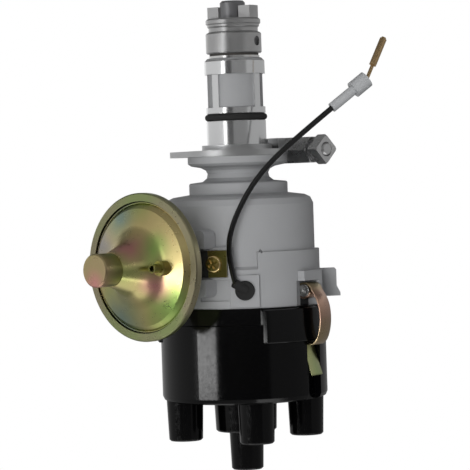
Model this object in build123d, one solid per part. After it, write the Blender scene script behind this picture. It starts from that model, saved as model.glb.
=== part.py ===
from build123d import *
import math
import os

os.makedirs("parts", exist_ok=True)

# Ignition distributor for a four cylinder engine, drawn as it stands in the engine, cap up.
# Z runs up the drive shaft from the face that the clamp plate seats against. Millimetres.
# Angles are seen from above, from +X. A side feature is drawn facing +X and then turned.

# Capitals are sizes that can be set. Small letters are what follows from them.

# Clearances
RUN = 0.05          # radial play of a turning fit
FACE = 0.1          # end play beside a turning part
SIDE = 0.3          # room beside a part that swings
MOULD = 0.1         # play of a moulded part in its seat
CUT = 1.0           # how far a cutting body runs past the face that it cuts

# Angles round the shaft
TOWER_ANGLE = -42.6
CLIP_ANGLE = -90.0
CAN_ANGLE = 8.5
TAB_ANGLE = -15.0
GROMMET_ANGLE = -35.0
EAR_ANGLE = 90.0
BOLT_ANGLE = -75.0
LUG_ANGLE = -130.0
DOG_ANGLE = -90.0
POCKET_ANGLE = -36.0
BOSS_ANGLE = 55.0

# Drive shaft and its bush
SHAFT_R = 6.35
SHAFT_NOSE = 2.8        # shaft beyond the dog's lugs
SPINDLE_R = 4.0
BUSH_WALL = 3.15
bush_r = SHAFT_R + BUSH_WALL

# Shank, measured down from the clamp seat
SHANK_R = 14.95
RING_GROOVE_AT = 17.7
RING_GROOVE_W = 3.7
RING_WIRE_R = 1.7
RING_PROUD = 0.5        # how far the ring stands out of the pilot
RING_LAND = 3.1
POCKET_LENGTH = 16.5
POCKET_DEPTH = 1.05
POCKET_HALF = 37.0      # half the angle of a pocket
PILOT_STEP = 0.25
PILOT_LENGTH = 8.1
PILOT_CHAMFER = 1.5
pilot_r = SHANK_R + PILOT_STEP
ring_out_r = pilot_r + RING_PROUD
ring_groove_r = ring_out_r - 2 * RING_WIRE_R
ring_groove_top = -RING_GROOVE_AT
ring_groove_low = ring_groove_top - RING_GROOVE_W
pocket_top = ring_groove_low - RING_LAND
pilot_top = pocket_top - POCKET_LENGTH
shank_end = pilot_top - PILOT_LENGTH

# Washers and drive dog, measured down from the shank's end
WASHER_R = 12.8
WASHER_T = 1.1
WASHER_GAP = 0.05
DOG_R = 14.0
DOG_LENGTH = 17.5
DOG_FLANGE_STEP = 0.2
DOG_NECK_DEPTH = 1.6
DOG_LUG_LENGTH = 6.2
DOG_LUG_INSET = 0.8
DOG_LUG_T = 6.0
DOG_LUG_W = 8.0
DOG_PIN_AT = 5.8
DOG_PIN_R = 2.4
DOG_PIN_INSET = 1.5
washer_step = WASHER_T + WASHER_GAP
dog_top = shank_end - FACE - 2 * washer_step
dog_low = dog_top - DOG_LENGTH
dog_lug_tip = dog_low - DOG_LUG_LENGTH
dog_pin_z = dog_top - DOG_PIN_AT
shaft_tip_z = dog_lug_tip - SHAFT_NOSE

# Flange, neck and collar, measured up from the clamp seat
FLANGE_R = 25.1
FLANGE_T = 4.6
NECK_R = 15.3
NECK_LENGTH = 8.6
COLLAR_R = 24.8
COLLAR_T = 5.7
FLOOR_T = 4.6
collar_low = FLANGE_T + NECK_LENGTH
collar_top = collar_low + COLLAR_T
floor_z = collar_top + FLOOR_T

# Centrifugal advance, seen with the weights closed
SHAFT_COLLAR_LENGTH = 3.5
SHAFT_COLLAR_WALL = 3.65
ACTION_PLATE_T = 2.5
ACTION_ROOM = 5.0       # action plate to the bowl's wall, for the weights to open into
POST_INSET = 4.0
POST_R = 2.5
WEIGHT_T = 4.0
WEIGHT_IN_R = 12.0
WEIGHT_FROM = 8.0
WEIGHT_TO = 100.0
TOGGLE_DROP = 2.0
TOGGLE_R = 1.5
FOOT_R = 16.5
FOOT_T = 2.0
SPRING_EYE_R = 1.5
SPRING_POST_R = 0.8
SPRING_POST_FOOT_R = 1.6
SPRING_RAISE = 2.2      # spring above the cam's foot
SPRING_POST_ABOVE = 1.2
ANCHOR_ANGLE = 128.0
ANCHOR_INSET = 3.0
FOOT_POST_ANGLE = 152.0
FOOT_POST_AT = 13.5
LEDGE_ROOM = 2.5        # spring posts to the breaker's base plate
action_plate_z = floor_z + SHAFT_COLLAR_LENGTH
action_top = action_plate_z + ACTION_PLATE_T
weight_z = action_top + SIDE
foot_z = weight_z + WEIGHT_T + SIDE
foot_top = foot_z + FOOT_T
spring_z = foot_top + SPRING_RAISE
spring_post_top = spring_z + SPRING_POST_ABOVE

# Bowl
BOWL_R = 37.4
BAND_STEP = 2.2         # rim band beyond the bowl
BAND_H = 19.0
PANEL_H = 8.4           # raised panel below the band
BREAKER_H = 33.0        # ledge to rim
SPIGOT_DEPTH = 5.0
BOWL_WALL = 4.4
BAND_WALL = 4.6
SPIGOT_WALL = 3.2
ledge_z = spring_post_top + LEDGE_ROOM
rim_z = ledge_z + BREAKER_H
band_z = rim_z - BAND_H
panel_z = band_z - PANEL_H
spigot_z = rim_z - SPIGOT_DEPTH
band_r = BOWL_R + BAND_STEP
lower_cavity_r = BOWL_R - BOWL_WALL
upper_cavity_r = band_r - BAND_WALL
spigot_bore_r = band_r - SPIGOT_WALL
action_plate_r = lower_cavity_r - ACTION_ROOM
post_at = action_plate_r - POST_INSET
toggle_x = post_at / 2
anchor_at = action_plate_r - ANCHOR_INSET

# Cam and rotor
CAM_RAISE = 5.0         # lobes above the ledge
CAM_H = 10.0
CAM_FLAT = 9.5
CAM_LOBE_R = 11.5
CAM_SLEEVE_WALL = 3.0
CAM_HEAD_WALL = 1.0
CAM_HEAD_H = 13.0
SPINDLE_ABOVE = 5.0     # spindle above the lobes
KEY_W = 2.0
CAM_SCREW_R = 1.25
CAM_SCREW_DEPTH = 9.0
ROTOR_RAISE = 3.0
ROTOR_H = 26.0
ROTOR_R = 8.0
ROTOR_ARM_T = 6.0
BLADE_T = 1.2
ROTOR_GAP = 0.7
LEAF_T = 0.6            # spring leaf under the carbon brush
cam_low = ledge_z + CAM_RAISE
cam_top = cam_low + CAM_H
cam_bore = SPINDLE_R + RUN / 2
cam_sleeve_r = SPINDLE_R + CAM_SLEEVE_WALL
cam_head_r = SPINDLE_R + CAM_HEAD_WALL
cam_head_top = cam_top + CAM_HEAD_H
spindle_top = cam_top + SPINDLE_ABOVE
rotor_low = cam_top + ROTOR_RAISE
blade_z = rotor_low + ROTOR_H

# Contact breaker
BASE_T = 1.6
BASE_ROOM = 2.0         # cam lobes to the base plate's bore
HUB_WALL = 2.0
TURN_PLATE_ROOM = 6.0   # breaker plate to the bowl's wall
TURN_PLATE_T = 1.6
BOSS_SCREW_INSET = 0.6
BASE_SCREW_R = 1.25
ARM_Y = -17.0           # centre plane of the breaker arm
ARM_RAISE = 2.6
ARM_H = 6.0
ARM_T = 1.5
ARM_PIVOT_X = 16.0
ARM_PIVOT_R = 1.8
CONTACT_X = -14.0
CONTACT_R = 1.7
CONTACT_T = 1.0
CONTACT_GAP = 0.5
HEEL_GAP = 0.08
POST_X, POST_Y = 12.5, -23.6        # terminal post
CAPACITOR_X = -22.0
CAPACITOR_R = 4.6
LINK_PIN_AT = 22.0
LINK_PIN_R = 1.5
LINK_T = 1.4
base_bore_r = CAM_LOBE_R + BASE_ROOM
hub_r = base_bore_r + HUB_WALL
turn_plate_r = upper_cavity_r - TURN_PLATE_ROOM
turn_plate_z = ledge_z + BASE_T + FACE
turn_plate_top = turn_plate_z + TURN_PLATE_T
arm_low = turn_plate_top + ARM_RAISE
arm_high = arm_low + ARM_H
contact_z = (arm_low + arm_high) / 2

# Vacuum advance unit, measured along its own axis
CAN_RAISE = 10.6        # axis above the ledge
CAN_STANDOFF = 18.9     # back of the can beyond the band
CAN_R = 36.0
CAN_DEPTH = 11.2
CAN_WALL = 1.2
HEM_T = 1.0
HEM_W = 4.0
DIAPHRAGM_T = 0.8
LID_T = 0.8
LID_WALL = 1.0
DISH_INSET = 7.5
DISH_RISE = 4.0
FLARE_R = 14.2          # where the dish and the cone would meet
FLARE_RISE = 7.8
FLARE_ROUND = 12.0
CONE_H = 24.0
SNOUT_R = 8.0
SNOUT_LENGTH = 11.0
NIPPLE_AT = 18.6
NIPPLE_R = 2.2
NIPPLE_BORE_R = 1.4
NIPPLE_ROOT_R = 2.8
NIPPLE_COLLAR_R = 3.6
NIPPLE_COLLAR_RISE = 10.2
NIPPLE_LENGTH = 5.0
SLOT_HALF = 6.0         # half width of the way through the bowl wall
BOSS_REACH = 3.9        # casting round the slot, beyond the band
TAB_REACH = 1.2
TAB_T = 1.5
TAB_HALF = 6.5          # half the height of the bracket and its tab
TAB_SCREW_R = 1.6
TAB_SCREW_HEAD_R = 4.2
can_z = ledge_z + CAN_RAISE
can_back = band_r + CAN_STANDOFF
can_joint = can_back + CAN_DEPTH
lid_low = can_joint + DIAPHRAGM_T
hem_low = lid_low + LID_T
hem_top = hem_low + HEM_T
hem_in_r = CAN_R - HEM_W
lid_edge = CAN_R - CAN_WALL - MOULD
cone_end = can_joint + CONE_H
snout_end = cone_end + SNOUT_LENGTH
boss_r = band_r + BOSS_REACH
tab_seat = band_r + TAB_REACH
tab_top = tab_seat + TAB_T

# Cap, measured from the bowl's rim, and its towers, measured from the crown
CAP_STEP = 2.0          # cap beyond the bowl's band
CAP_BAND_STEP = 0.8
CAP_BAND_H = 8.0
CLIP_RECESS_H = 9.6
CAP_H = 47.0
CAP_WALL = 4.8
CROWN_T = 6.5
CAP_SPIGOT_WALL = 2.4
TOWER_INSET = 10.7
TOWER_ROOT_R = 9.4
TOWER_TIP_R = 8.5
TOWER_H = 20.0
TURRET_ROOT_R = 16.1
TURRET_TIP_R = 15.3
TURRET_H = 16.4
COIL_TOWER_TIP_R = 8.0
COIL_TOWER_H = 36.0
TOWER_CHAMFER = 0.8
SOCKET_R = 4.2
SOCKET_DEPTH = 15.0
ELECTRODE_R = 2.6
ELECTRODE_DROP = 6.0    # lower end below the rotor's blade
ELECTRODE_WALL = 1.2
BRUSH_R = 2.2
BRUSH_RAISE = 12.0      # brush above the rotor's blade
BRUSH_BOSS_R = 5.0
BRUSH_BOSS_H = 11.5
INSERT_R = 3.6
INSERT_T = 1.2
cap_r = band_r + CAP_STEP
cap_band_r = cap_r - CAP_BAND_STEP
cap_cavity_r = cap_r - CAP_WALL
cap_spigot_r = spigot_bore_r - MOULD
cap_band_top = rim_z + CAP_BAND_H
clip_recess_top = cap_band_top + CLIP_RECESS_H
cap_top = rim_z + CAP_H
cap_roof = cap_top - CROWN_T
tower_at = cap_r - TOWER_INSET
tower_top = cap_top + TOWER_H
turret_top = cap_top + TURRET_H
coil_tower_top = cap_top + COIL_TOWER_H
electrode_low = blade_z - ELECTRODE_DROP
brush_low = blade_z + BRUSH_RAISE
brush_top = cap_roof + 0.5
blade_tip = tower_at - ELECTRODE_R - ROTOR_GAP

# Cap clips
CLIP_W = 10.0
CLIP_T = 0.9
EYE_INSET = 0.1
EYE_BELOW_RIM = 7.3
CLIP_PIN_R = 2.0
CLIP_LUG_WALL = 0.9
CLIP_LUG_CHEEK = 3.1
CLIP_BULGE = 9.1
HOOK_RAISE = 0.8        # hook above the cap's recess
eye_at = band_r - EYE_INSET
eye_z = rim_z - EYE_BELOW_RIM
hook_z = clip_recess_top + HOOK_RAISE

# Clamp plate and pinch bolt
PLATE_T = 3.0
PLATE_R = 25.5
CLAMP_COLLAR_WALL = 2.7
CLAMP_COLLAR_T = 2.6
EAR_HOLE_AT = 32.0
EAR_HOLE_R = 3.6
EAR_R = 7.6
BOLT_AT = 30.0          # bolt line to shaft axis
BOLT_R = 3.0
BOLT_Z = -2.0
BOLT_HEAD_R = 5.8
BOLT_HEAD_T = 4.0
BOLT_PAST_NUT = 0.8
JAW_HALF = 6.5          # half the height of a jaw and of the hexagonal sleeve
JAW_END = 9.0
JAW_REACH = 5.0         # jaw beyond the bolt line
JAW_ROOT = 10.0         # jaw inside the bolt line
SLIT = 3.0
SLEEVE_LENGTH = 16.5
SPRING_WASHER_T = 1.5
SPRING_WASHER_R = 5.6
NUT_T = 6.6
NUT_AF = 10.6
clamp_bore_r = SHANK_R + RUN
clamp_collar_r = clamp_bore_r + CLAMP_COLLAR_WALL
sleeve_end = JAW_END + SLEEVE_LENGTH
washer_end = sleeve_end + SPRING_WASHER_T
nut_end = washer_end + NUT_T

# Low tension lead
LEAD_R = 1.35
INNER_LEAD_R = 0.9
BULLET_R = 1.75
GROMMET_BELOW_RIM = 9.0
GROMMET_R = 4.8
GROMMET_T = 2.2
GROMMET_PLUG_STEP = 1.0
GROMMET_NOSE_R = 2.3
grommet_z = rim_z - GROMMET_BELOW_RIM
grommet_seat = band_r + TAB_REACH
grommet_plug_r = GROMMET_R - GROMMET_PLUG_STEP


def turned(outline):
    """Solid of revolution about Z from (radius, height) points."""
    return revolve(Plane.XZ * make_face(Polyline(*outline, close=True)), Axis.Z)


def rod(radius, low, high, x=0.0, y=0.0):
    return Pos(x, y, low) * Cylinder(radius, high - low, align=(Align.CENTER, Align.CENTER, Align.MIN))


def tube(outer, inner, low, high, x=0.0, y=0.0):
    return rod(outer, low, high, x, y) - rod(inner, low - 1, high + 1, x, y)


def rod_x(radius, start, end, y=0.0, z=0.0):
    """Round bar along X."""
    return Pos(start, y, z) * Rot(0, 90, 0) * Cylinder(
        radius, end - start, align=(Align.CENTER, Align.CENTER, Align.MIN))


def rod_y(radius, start, end, x=0.0, z=0.0):
    """Round bar along Y."""
    return Pos(x, end, z) * Rot(90, 0, 0) * Cylinder(
        radius, end - start, align=(Align.CENTER, Align.CENTER, Align.MIN))


def block(x0, x1, y0, y1, z0, z1):
    return Pos((x0 + x1) / 2, (y0 + y1) / 2, (z0 + z1) / 2) * Box(x1 - x0, y1 - y0, z1 - z0)


def sector(inner, outer, low, high, start, end):
    """Part of a ring between two angles in degrees, less than half a turn."""
    far = outer / math.cos(math.radians(end - start) / 2) + 1
    corners = [(0, 0)]
    for angle in (start, (start + end) / 2, end):
        corners.append((far * math.cos(math.radians(angle)), far * math.sin(math.radians(angle))))
    wedge = extrude(Pos(0, 0, low) * make_face(Polyline(*corners, close=True)), high - low)
    return tube(outer, inner, low, high) & wedge


def bar_along(start, direction, low, high, radius):
    """Round bar on a line through start."""
    return extrude(Plane(origin=start + direction * low, z_dir=direction) * Circle(radius), high - low)


def at_angle(radius, angle):
    return (radius * math.cos(math.radians(angle)), radius * math.sin(math.radians(angle)))


def facing(angle, shape):
    return Rot(0, 0, angle) * shape


def save(name, shape):
    export_step(shape, f"parts/{name}.step")


# Housing
outline = [
    (bush_r, shank_end), (pilot_r - PILOT_CHAMFER, shank_end), (pilot_r, shank_end + PILOT_CHAMFER),
    (pilot_r, pilot_top), (SHANK_R, pilot_top), (SHANK_R, ring_groove_low), (ring_groove_r, ring_groove_low),
    (ring_groove_r, ring_groove_top), (SHANK_R, ring_groove_top), (SHANK_R, 0),
    (FLANGE_R, 0), (FLANGE_R, FLANGE_T - 1.2), (FLANGE_R - 1.6, FLANGE_T), (NECK_R + 3.4, FLANGE_T + 0.9),
    (NECK_R + 0.9, FLANGE_T + 2.2), (NECK_R, FLANGE_T + 4.0), (NECK_R + 0.5, collar_low - 2.4),
    (NECK_R + 2.6, collar_low - 0.7), (COLLAR_R - 0.6, collar_low), (COLLAR_R, collar_low + 0.6),
    (COLLAR_R, collar_top), (BOWL_R - 4.2, collar_top + 1.2), (BOWL_R - 1.4, collar_top + 2.6),
    (BOWL_R, collar_top + 5.6), (BOWL_R, band_z - 1.4), (band_r, band_z), (band_r, rim_z),
    (spigot_bore_r, rim_z), (spigot_bore_r, spigot_z), (upper_cavity_r, spigot_z), (upper_cavity_r, ledge_z),
    (lower_cavity_r, ledge_z), (lower_cavity_r, floor_z + 2.5), (lower_cavity_r - 2.5, floor_z),
    (bush_r, floor_z),
]
housing = turned(outline)
for quarter in range(4):
    middle = POCKET_ANGLE + 90 * quarter
    housing -= sector(
        SHANK_R - POCKET_DEPTH, pilot_r + CUT, pilot_top, pocket_top, middle - POCKET_HALF, middle + POCKET_HALF)

# Raised panel on the side towards the front clip, with the foundry dimple at its corner
panel_from, panel_to = -134.0, -45.0
housing += sector(BOWL_R - CUT, band_r, panel_z, band_z + CUT, panel_from, panel_to)
housing -= facing(panel_to - 3, rod_x(0.8, BOWL_R - 1.5, band_r + CUT, 0, panel_z - 0.4))

# Grommet boss and the shallow field beside it
boss_half = 7.2
grommet_boss = block(upper_cavity_r + 2, grommet_seat, -boss_half, boss_half, grommet_z - 7.5, rim_z - 0.8)
housing += facing(GROMMET_ANGLE, grommet_boss)
housing -= sector(band_r - 1.2, band_r + CUT, band_z + 3, rim_z - 4.0, GROMMET_ANGLE + 11.5, GROMMET_ANGLE + 33)

# Way for the vacuum unit: a boss with a slot, and a pad for its screw
field_half = TAB_HALF + 1.0
can_boss = block(upper_cavity_r + 0.5, boss_r, -15.0, 17.0, ledge_z - 6.0, rim_z - 6.0)
can_boss = fillet(can_boss.edges().filter_by(Axis.X), 3.0)
housing += facing(CAN_ANGLE, can_boss)
housing -= facing(CAN_ANGLE, block(
    lower_cavity_r, boss_r + CUT, -SLOT_HALF, SLOT_HALF, ledge_z + 2, can_z + SLOT_HALF))
tab_pad = block(upper_cavity_r + 1, tab_seat, -8.0, 9.0, can_z - 8, can_z + 8)
housing += facing(TAB_ANGLE, tab_pad)
housing -= facing(CAN_ANGLE, block(
    tab_seat + FACE, boss_r + CUT, -16.0, -SLOT_HALF - 2.0, can_z - field_half, can_z + field_half))
housing -= facing(TAB_ANGLE, block(tab_seat, boss_r + CUT, -9.0, 12.0, can_z - field_half, can_z + field_half))

# Bosses inside for the two base plate screws
boss_screw_at = lower_cavity_r - BOSS_SCREW_INSET
boss_round = rod(3.0, floor_z, ledge_z, lower_cavity_r) & rod(lower_cavity_r + 1.5, floor_z, ledge_z)
for angle in (BOSS_ANGLE, BOSS_ANGLE + 180):
    housing += facing(angle, boss_round)
    housing -= facing(angle, rod(BASE_SCREW_R, ledge_z - 8, ledge_z + CUT, boss_screw_at))

# Clip lugs: a slotted block with one low cheek, so that the rolled eye shows
slot_half = CLIP_W / 2 + SIDE
lug_half = slot_half + CLIP_LUG_CHEEK
lug_out = eye_at + CLIP_PIN_R + CLIP_LUG_WALL
clip_lug = block(upper_cavity_r + 2, lug_out, -lug_half, lug_half, eye_z - 10, rim_z)
lug_slot = block(eye_at - 3.4, lug_out + CUT, -slot_half, slot_half, eye_z - 5.0, rim_z + CUT)
low_cheek = block(eye_at - 1.9, lug_out + CUT, CLIP_W / 2, lug_half + CUT, eye_z - 5.0, rim_z + CUT)
pin_hole = rod_y(CLIP_PIN_R, -lug_half - CUT, lug_half + CUT, eye_at, eye_z)
for angle in (CLIP_ANGLE, CLIP_ANGLE + 180):
    housing += facing(angle, clip_lug)
    housing -= facing(angle, lug_slot)
    housing -= facing(angle, low_cheek)
    housing -= facing(angle, pin_hole)

# Cast ear beside the front clip
ear_low = rim_z - 17.0
ear_top = rim_z - 2.8
ear_line = [
    (BOWL_R, ear_low), (band_r + 7.8, ear_low), (band_r + 8.6, ear_low + 1.0), (band_r + 8.6, ear_low + 9.0),
    (band_r + 10.4, ear_top - 1.6), (band_r + 10.4, ear_top), (BOWL_R, ear_top)]
ear = make_face(Polyline(*ear_line, close=True))
housing += facing(LUG_ANGLE, extrude(Plane.XZ * ear, 2.0, both=True))

# Holes for the grommet and the two screws of the vacuum unit
housing -= facing(GROMMET_ANGLE, rod_x(grommet_plug_r, upper_cavity_r - CUT, grommet_seat + CUT, 0, grommet_z))
tab_hole_end = upper_cavity_r + 1.2
housing -= facing(TAB_ANGLE, rod_x(TAB_SCREW_R, tab_hole_end, tab_seat + CUT, 0, can_z))
save("housing", housing)
save("shank_bush", tube(bush_r, SHAFT_R + RUN, shank_end, floor_z))

ring_middle = ring_out_r - RING_WIRE_R
save("shank_o_ring", Pos(0, 0, (ring_groove_low + ring_groove_top) / 2) * Torus(ring_middle, RING_WIRE_R))

# Drive shaft with its spindle for the cam
shaft = turned([
    (0, shaft_tip_z), (SHAFT_R - 1.0, shaft_tip_z), (SHAFT_R, shaft_tip_z + 1.0),
    (SHAFT_R, action_top), (SPINDLE_R, action_top), (SPINDLE_R, spindle_top), (CAM_SCREW_R, spindle_top),
    (CAM_SCREW_R, spindle_top - CAM_SCREW_DEPTH - CUT), (0, spindle_top - CAM_SCREW_DEPTH - CUT)])
dog_pin_half = DOG_R - DOG_PIN_INSET
pin_bar = facing(DOG_ANGLE, rod_x(DOG_PIN_R, -dog_pin_half, dog_pin_half, 0, dog_pin_z))
pin_bore = facing(DOG_ANGLE, rod_x(DOG_PIN_R, -DOG_R - CUT, DOG_R + CUT, 0, dog_pin_z))
shaft -= pin_bore
save("drive_shaft", shaft)
save("dog_pin", pin_bar)

dog_neck_r = DOG_R - DOG_NECK_DEPTH
dog_flange_r = DOG_R - DOG_FLANGE_STEP
dog_lug_r = DOG_R - DOG_LUG_INSET
dog = turned([
    (SHAFT_R, dog_top), (DOG_R - 0.6, dog_top), (DOG_R, dog_top - 0.6), (DOG_R, dog_low + 7.7),
    (DOG_R - 0.6, dog_low + 7.1), (dog_neck_r, dog_low + 6.6), (dog_neck_r, dog_low + 4.7),
    (dog_flange_r - 0.7, dog_low + 3.9), (dog_flange_r - 0.7, dog_low + 3.1), (dog_flange_r, dog_low + 2.5),
    (dog_flange_r, dog_low + 0.8), (dog_flange_r - 0.8, dog_low), (SHAFT_R, dog_low)])
lug_ring = tube(dog_lug_r, dog_lug_r - DOG_LUG_T, dog_lug_tip, dog_low)
dog += lug_ring & facing(DOG_ANGLE, block(-DOG_R, DOG_R, -DOG_LUG_W / 2, DOG_LUG_W / 2, dog_lug_tip, dog_low))
dog -= pin_bore
save("drive_dog", dog)

washer_top = shank_end - FACE
save("thrust_washer_steel", tube(WASHER_R, SHAFT_R + RUN, washer_top - WASHER_T, washer_top))
washer_top -= washer_step
save("thrust_washer_fibre", tube(WASHER_R - 0.5, SHAFT_R + RUN, washer_top - WASHER_T, washer_top))
save("distance_collar", tube(SHAFT_R + SHAFT_COLLAR_WALL, SHAFT_R, floor_z + FACE, action_plate_z))

# Action plate with a post for each weight and each spring
spring_foot_z = spring_z - SPRING_POST_FOOT_R
action_plate = tube(action_plate_r, SHAFT_R, action_plate_z, action_top)
for turn in (0, 180):
    ax, ay = at_angle(anchor_at, ANCHOR_ANGLE + turn)
    action_plate += facing(turn, rod(POST_R, action_top, foot_top, post_at))
    action_plate += rod(SPRING_POST_FOOT_R, action_top, spring_foot_z, ax, ay)
    action_plate += rod(SPRING_POST_R, spring_foot_z, spring_post_top, ax, ay)
    action_plate -= facing(turn + 45, rod(2.2, action_plate_z - CUT, action_top + CUT, action_plate_r - 9.0))
save("action_plate", action_plate)

# Flyweights: a curved weight, an eye on the post and a toggle pin that turns the cam foot
toggle_y = -TOGGLE_DROP
neck = make_hull(
    (Pos(post_at, 0) * Circle(5.2)).edges() + (Pos(toggle_x, toggle_y) * Circle(TOGGLE_R + 1.4)).edges())
weight = sector(WEIGHT_IN_R, post_at, weight_z, weight_z + WEIGHT_T, WEIGHT_FROM, WEIGHT_TO)
weight += extrude(Pos(0, 0, weight_z) * neck, WEIGHT_T)
weight += rod(TOGGLE_R, weight_z + WEIGHT_T, foot_top + 0.6, toggle_x, toggle_y)
weight -= rod(POST_R + RUN, weight_z - CUT, weight_z + WEIGHT_T + CUT, post_at)
weight -= facing(70, rod(2.0, weight_z - CUT, weight_z + WEIGHT_T + CUT, (WEIGHT_IN_R + post_at) / 2))
save("flyweight_a", weight)
save("flyweight_b", facing(180, weight))

# Weight springs, drawn as a closed coil with two hooks
start = Vector(*at_angle(anchor_at, ANCHOR_ANGLE), spring_z)
end = Vector(*at_angle(FOOT_POST_AT, FOOT_POST_ANGLE), spring_z)
along = (end - start).normalized()
length = (end - start).length
spring = bar_along(start, along, 2.6, length - 2.6, SPRING_EYE_R)
spring += bar_along(start, along, SPRING_EYE_R - 0.3, length - SPRING_EYE_R + 0.3, 0.35)
for hook in (start, end):
    spring += Pos(*hook) * Cylinder(SPRING_EYE_R, 0.7)
    spring -= Pos(*hook) * Cylinder(SPRING_POST_R + RUN, 3)
save("weight_springs", Compound(children=[spring, facing(180, spring)]))

# Cam: foot with two slots, sleeve on the spindle, four lobes and the head that carries the rotor
cam = rod(FOOT_R, foot_z, foot_top) + rod(cam_sleeve_r, action_top + FACE, cam_top)
cam += rod(CAM_LOBE_R, cam_low, cam_top) & block(-CAM_FLAT, CAM_FLAT, -CAM_FLAT, CAM_FLAT, cam_low, cam_top)
cam += rod(cam_head_r, cam_top, cam_head_top)
cam -= rod(cam_bore, action_top - CUT, cam_head_top + CUT)
cam -= block(cam_bore - 0.5, cam_head_r + CUT, -KEY_W / 2, KEY_W / 2, cam_head_top - 6, cam_head_top + CUT)
toggle_angle = math.degrees(math.atan2(toggle_y, toggle_x))
toggle_at = math.hypot(toggle_x, toggle_y)
toggle_slot = block(
    toggle_at - 2.5, toggle_at + 2.3, -TOGGLE_R - 0.15, TOGGLE_R + 0.15, foot_z - CUT, foot_top + CUT)
for turn in (0, 180):
    cam -= facing(turn + toggle_angle, toggle_slot)
    fx, fy = at_angle(FOOT_POST_AT, FOOT_POST_ANGLE + turn)
    cam += rod(SPRING_POST_FOOT_R, foot_top, spring_foot_z, fx, fy)
    cam += rod(SPRING_POST_R, spring_foot_z, spring_post_top, fx, fy)
save("cam", cam)
cam_screw = rod(SPINDLE_R - 0.2, spindle_top, spindle_top + 2.5)
cam_screw += rod(CAM_SCREW_R, spindle_top - CAM_SCREW_DEPTH, spindle_top)
save("cam_screw", cam_screw - block(-5, 5, -0.4, 0.4, spindle_top + 1.5, spindle_top + 3))

# Rotor arm, pressed on the cam head, with its blade and the spring under the carbon brush
blade_top = blade_z + BLADE_T
rotor = rod(ROTOR_R, rotor_low, blade_z - 4)
rotor += block(-ROTOR_R - 5, blade_tip - 6.6, -5, 5, blade_z - ROTOR_ARM_T, blade_z)
rotor -= rod(cam_head_r, rotor_low - CUT, cam_head_top + FACE)
rotor += block(cam_bore + 0.2, cam_head_r + 0.5, -KEY_W / 2 + 0.05, KEY_W / 2 - 0.05,
               cam_head_top - 5.8, cam_head_top + FACE)
save("rotor_arm", rotor)
blade = block(-4, blade_tip, -3.5, 3.5, blade_z, blade_top) & rod(blade_tip, blade_z, blade_top)
save("rotor_blade", blade)
leaf_line = Polyline(
    (-3.5, blade_top + LEAF_T / 2), (-1.0, blade_top + LEAF_T / 2), (-5.5, brush_low - 3.2),
    (1.5, brush_low - 0.35))
leaf = extrude(Plane.XZ * trace(leaf_line, LEAF_T), 2.5, both=True)
save("rotor_spring", leaf)

# Fixed base plate, with the hub that the breaker plate turns on, and its screws
base = tube(upper_cavity_r - MOULD, base_bore_r, ledge_z, ledge_z + BASE_T)
base += tube(hub_r, base_bore_r, ledge_z + BASE_T, turn_plate_top + 0.3)
screws = []
for angle in (BOSS_ANGLE, BOSS_ANGLE + 180):
    base -= facing(angle, rod(BASE_SCREW_R + 0.05, ledge_z - CUT, ledge_z + BASE_T + CUT, boss_screw_at))
    screw = rod(2.3, ledge_z + BASE_T, ledge_z + BASE_T + 1.6, boss_screw_at)
    screw += rod(BASE_SCREW_R, ledge_z - 6, ledge_z + BASE_T, boss_screw_at)
    screws.append(facing(angle, screw))
save("base_plate", base)
save("base_screws", Compound(children=screws))

# Breaker plate, turned by the vacuum unit through the pin
plate = tube(turn_plate_r, hub_r + RUN, turn_plate_z, turn_plate_top)
pin_x, pin_y = at_angle(LINK_PIN_AT, CAN_ANGLE + 90)
link_z = turn_plate_top + 1.0
plate += rod(LINK_PIN_R + 0.9, turn_plate_top, link_z - FACE, pin_x, pin_y)
plate += rod(LINK_PIN_R, link_z - FACE, link_z + 3.0, pin_x, pin_y)
plate += rod(ARM_PIVOT_R + 1.0, turn_plate_top, arm_low - 0.6, ARM_PIVOT_X, ARM_Y)
plate += rod(ARM_PIVOT_R, arm_low - 0.6, arm_high + 1.6, ARM_PIVOT_X, ARM_Y)
save("breaker_plate", plate)

# Breaker arm: boss on the pivot, a channel, the heel that the cam lifts and the moving contact
arm_in = ARM_Y + ARM_T / 2
heel_tip = -(CAM_LOBE_R + HEEL_GAP)
arm = block(CONTACT_X - 2.4, ARM_PIVOT_X, ARM_Y - ARM_T / 2, arm_in, arm_low, arm_high)
arm += rod(ARM_PIVOT_R + 1.9, arm_low, arm_high, ARM_PIVOT_X, ARM_Y)
arm -= rod(ARM_PIVOT_R + RUN, arm_low - CUT, arm_high + CUT, ARM_PIVOT_X, ARM_Y)
save("breaker_arm", arm)
heel = make_face(Polyline((-3.0, arm_in), (-1.4, heel_tip), (1.4, heel_tip), (3.0, arm_in), close=True))
save("breaker_heel", extrude(Pos(0, 0, arm_low + 0.5) * heel, arm_high - arm_low - 1.0))
save("moving_contact", rod_y(CONTACT_R, arm_in, arm_in + CONTACT_T, CONTACT_X, contact_z))

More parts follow.
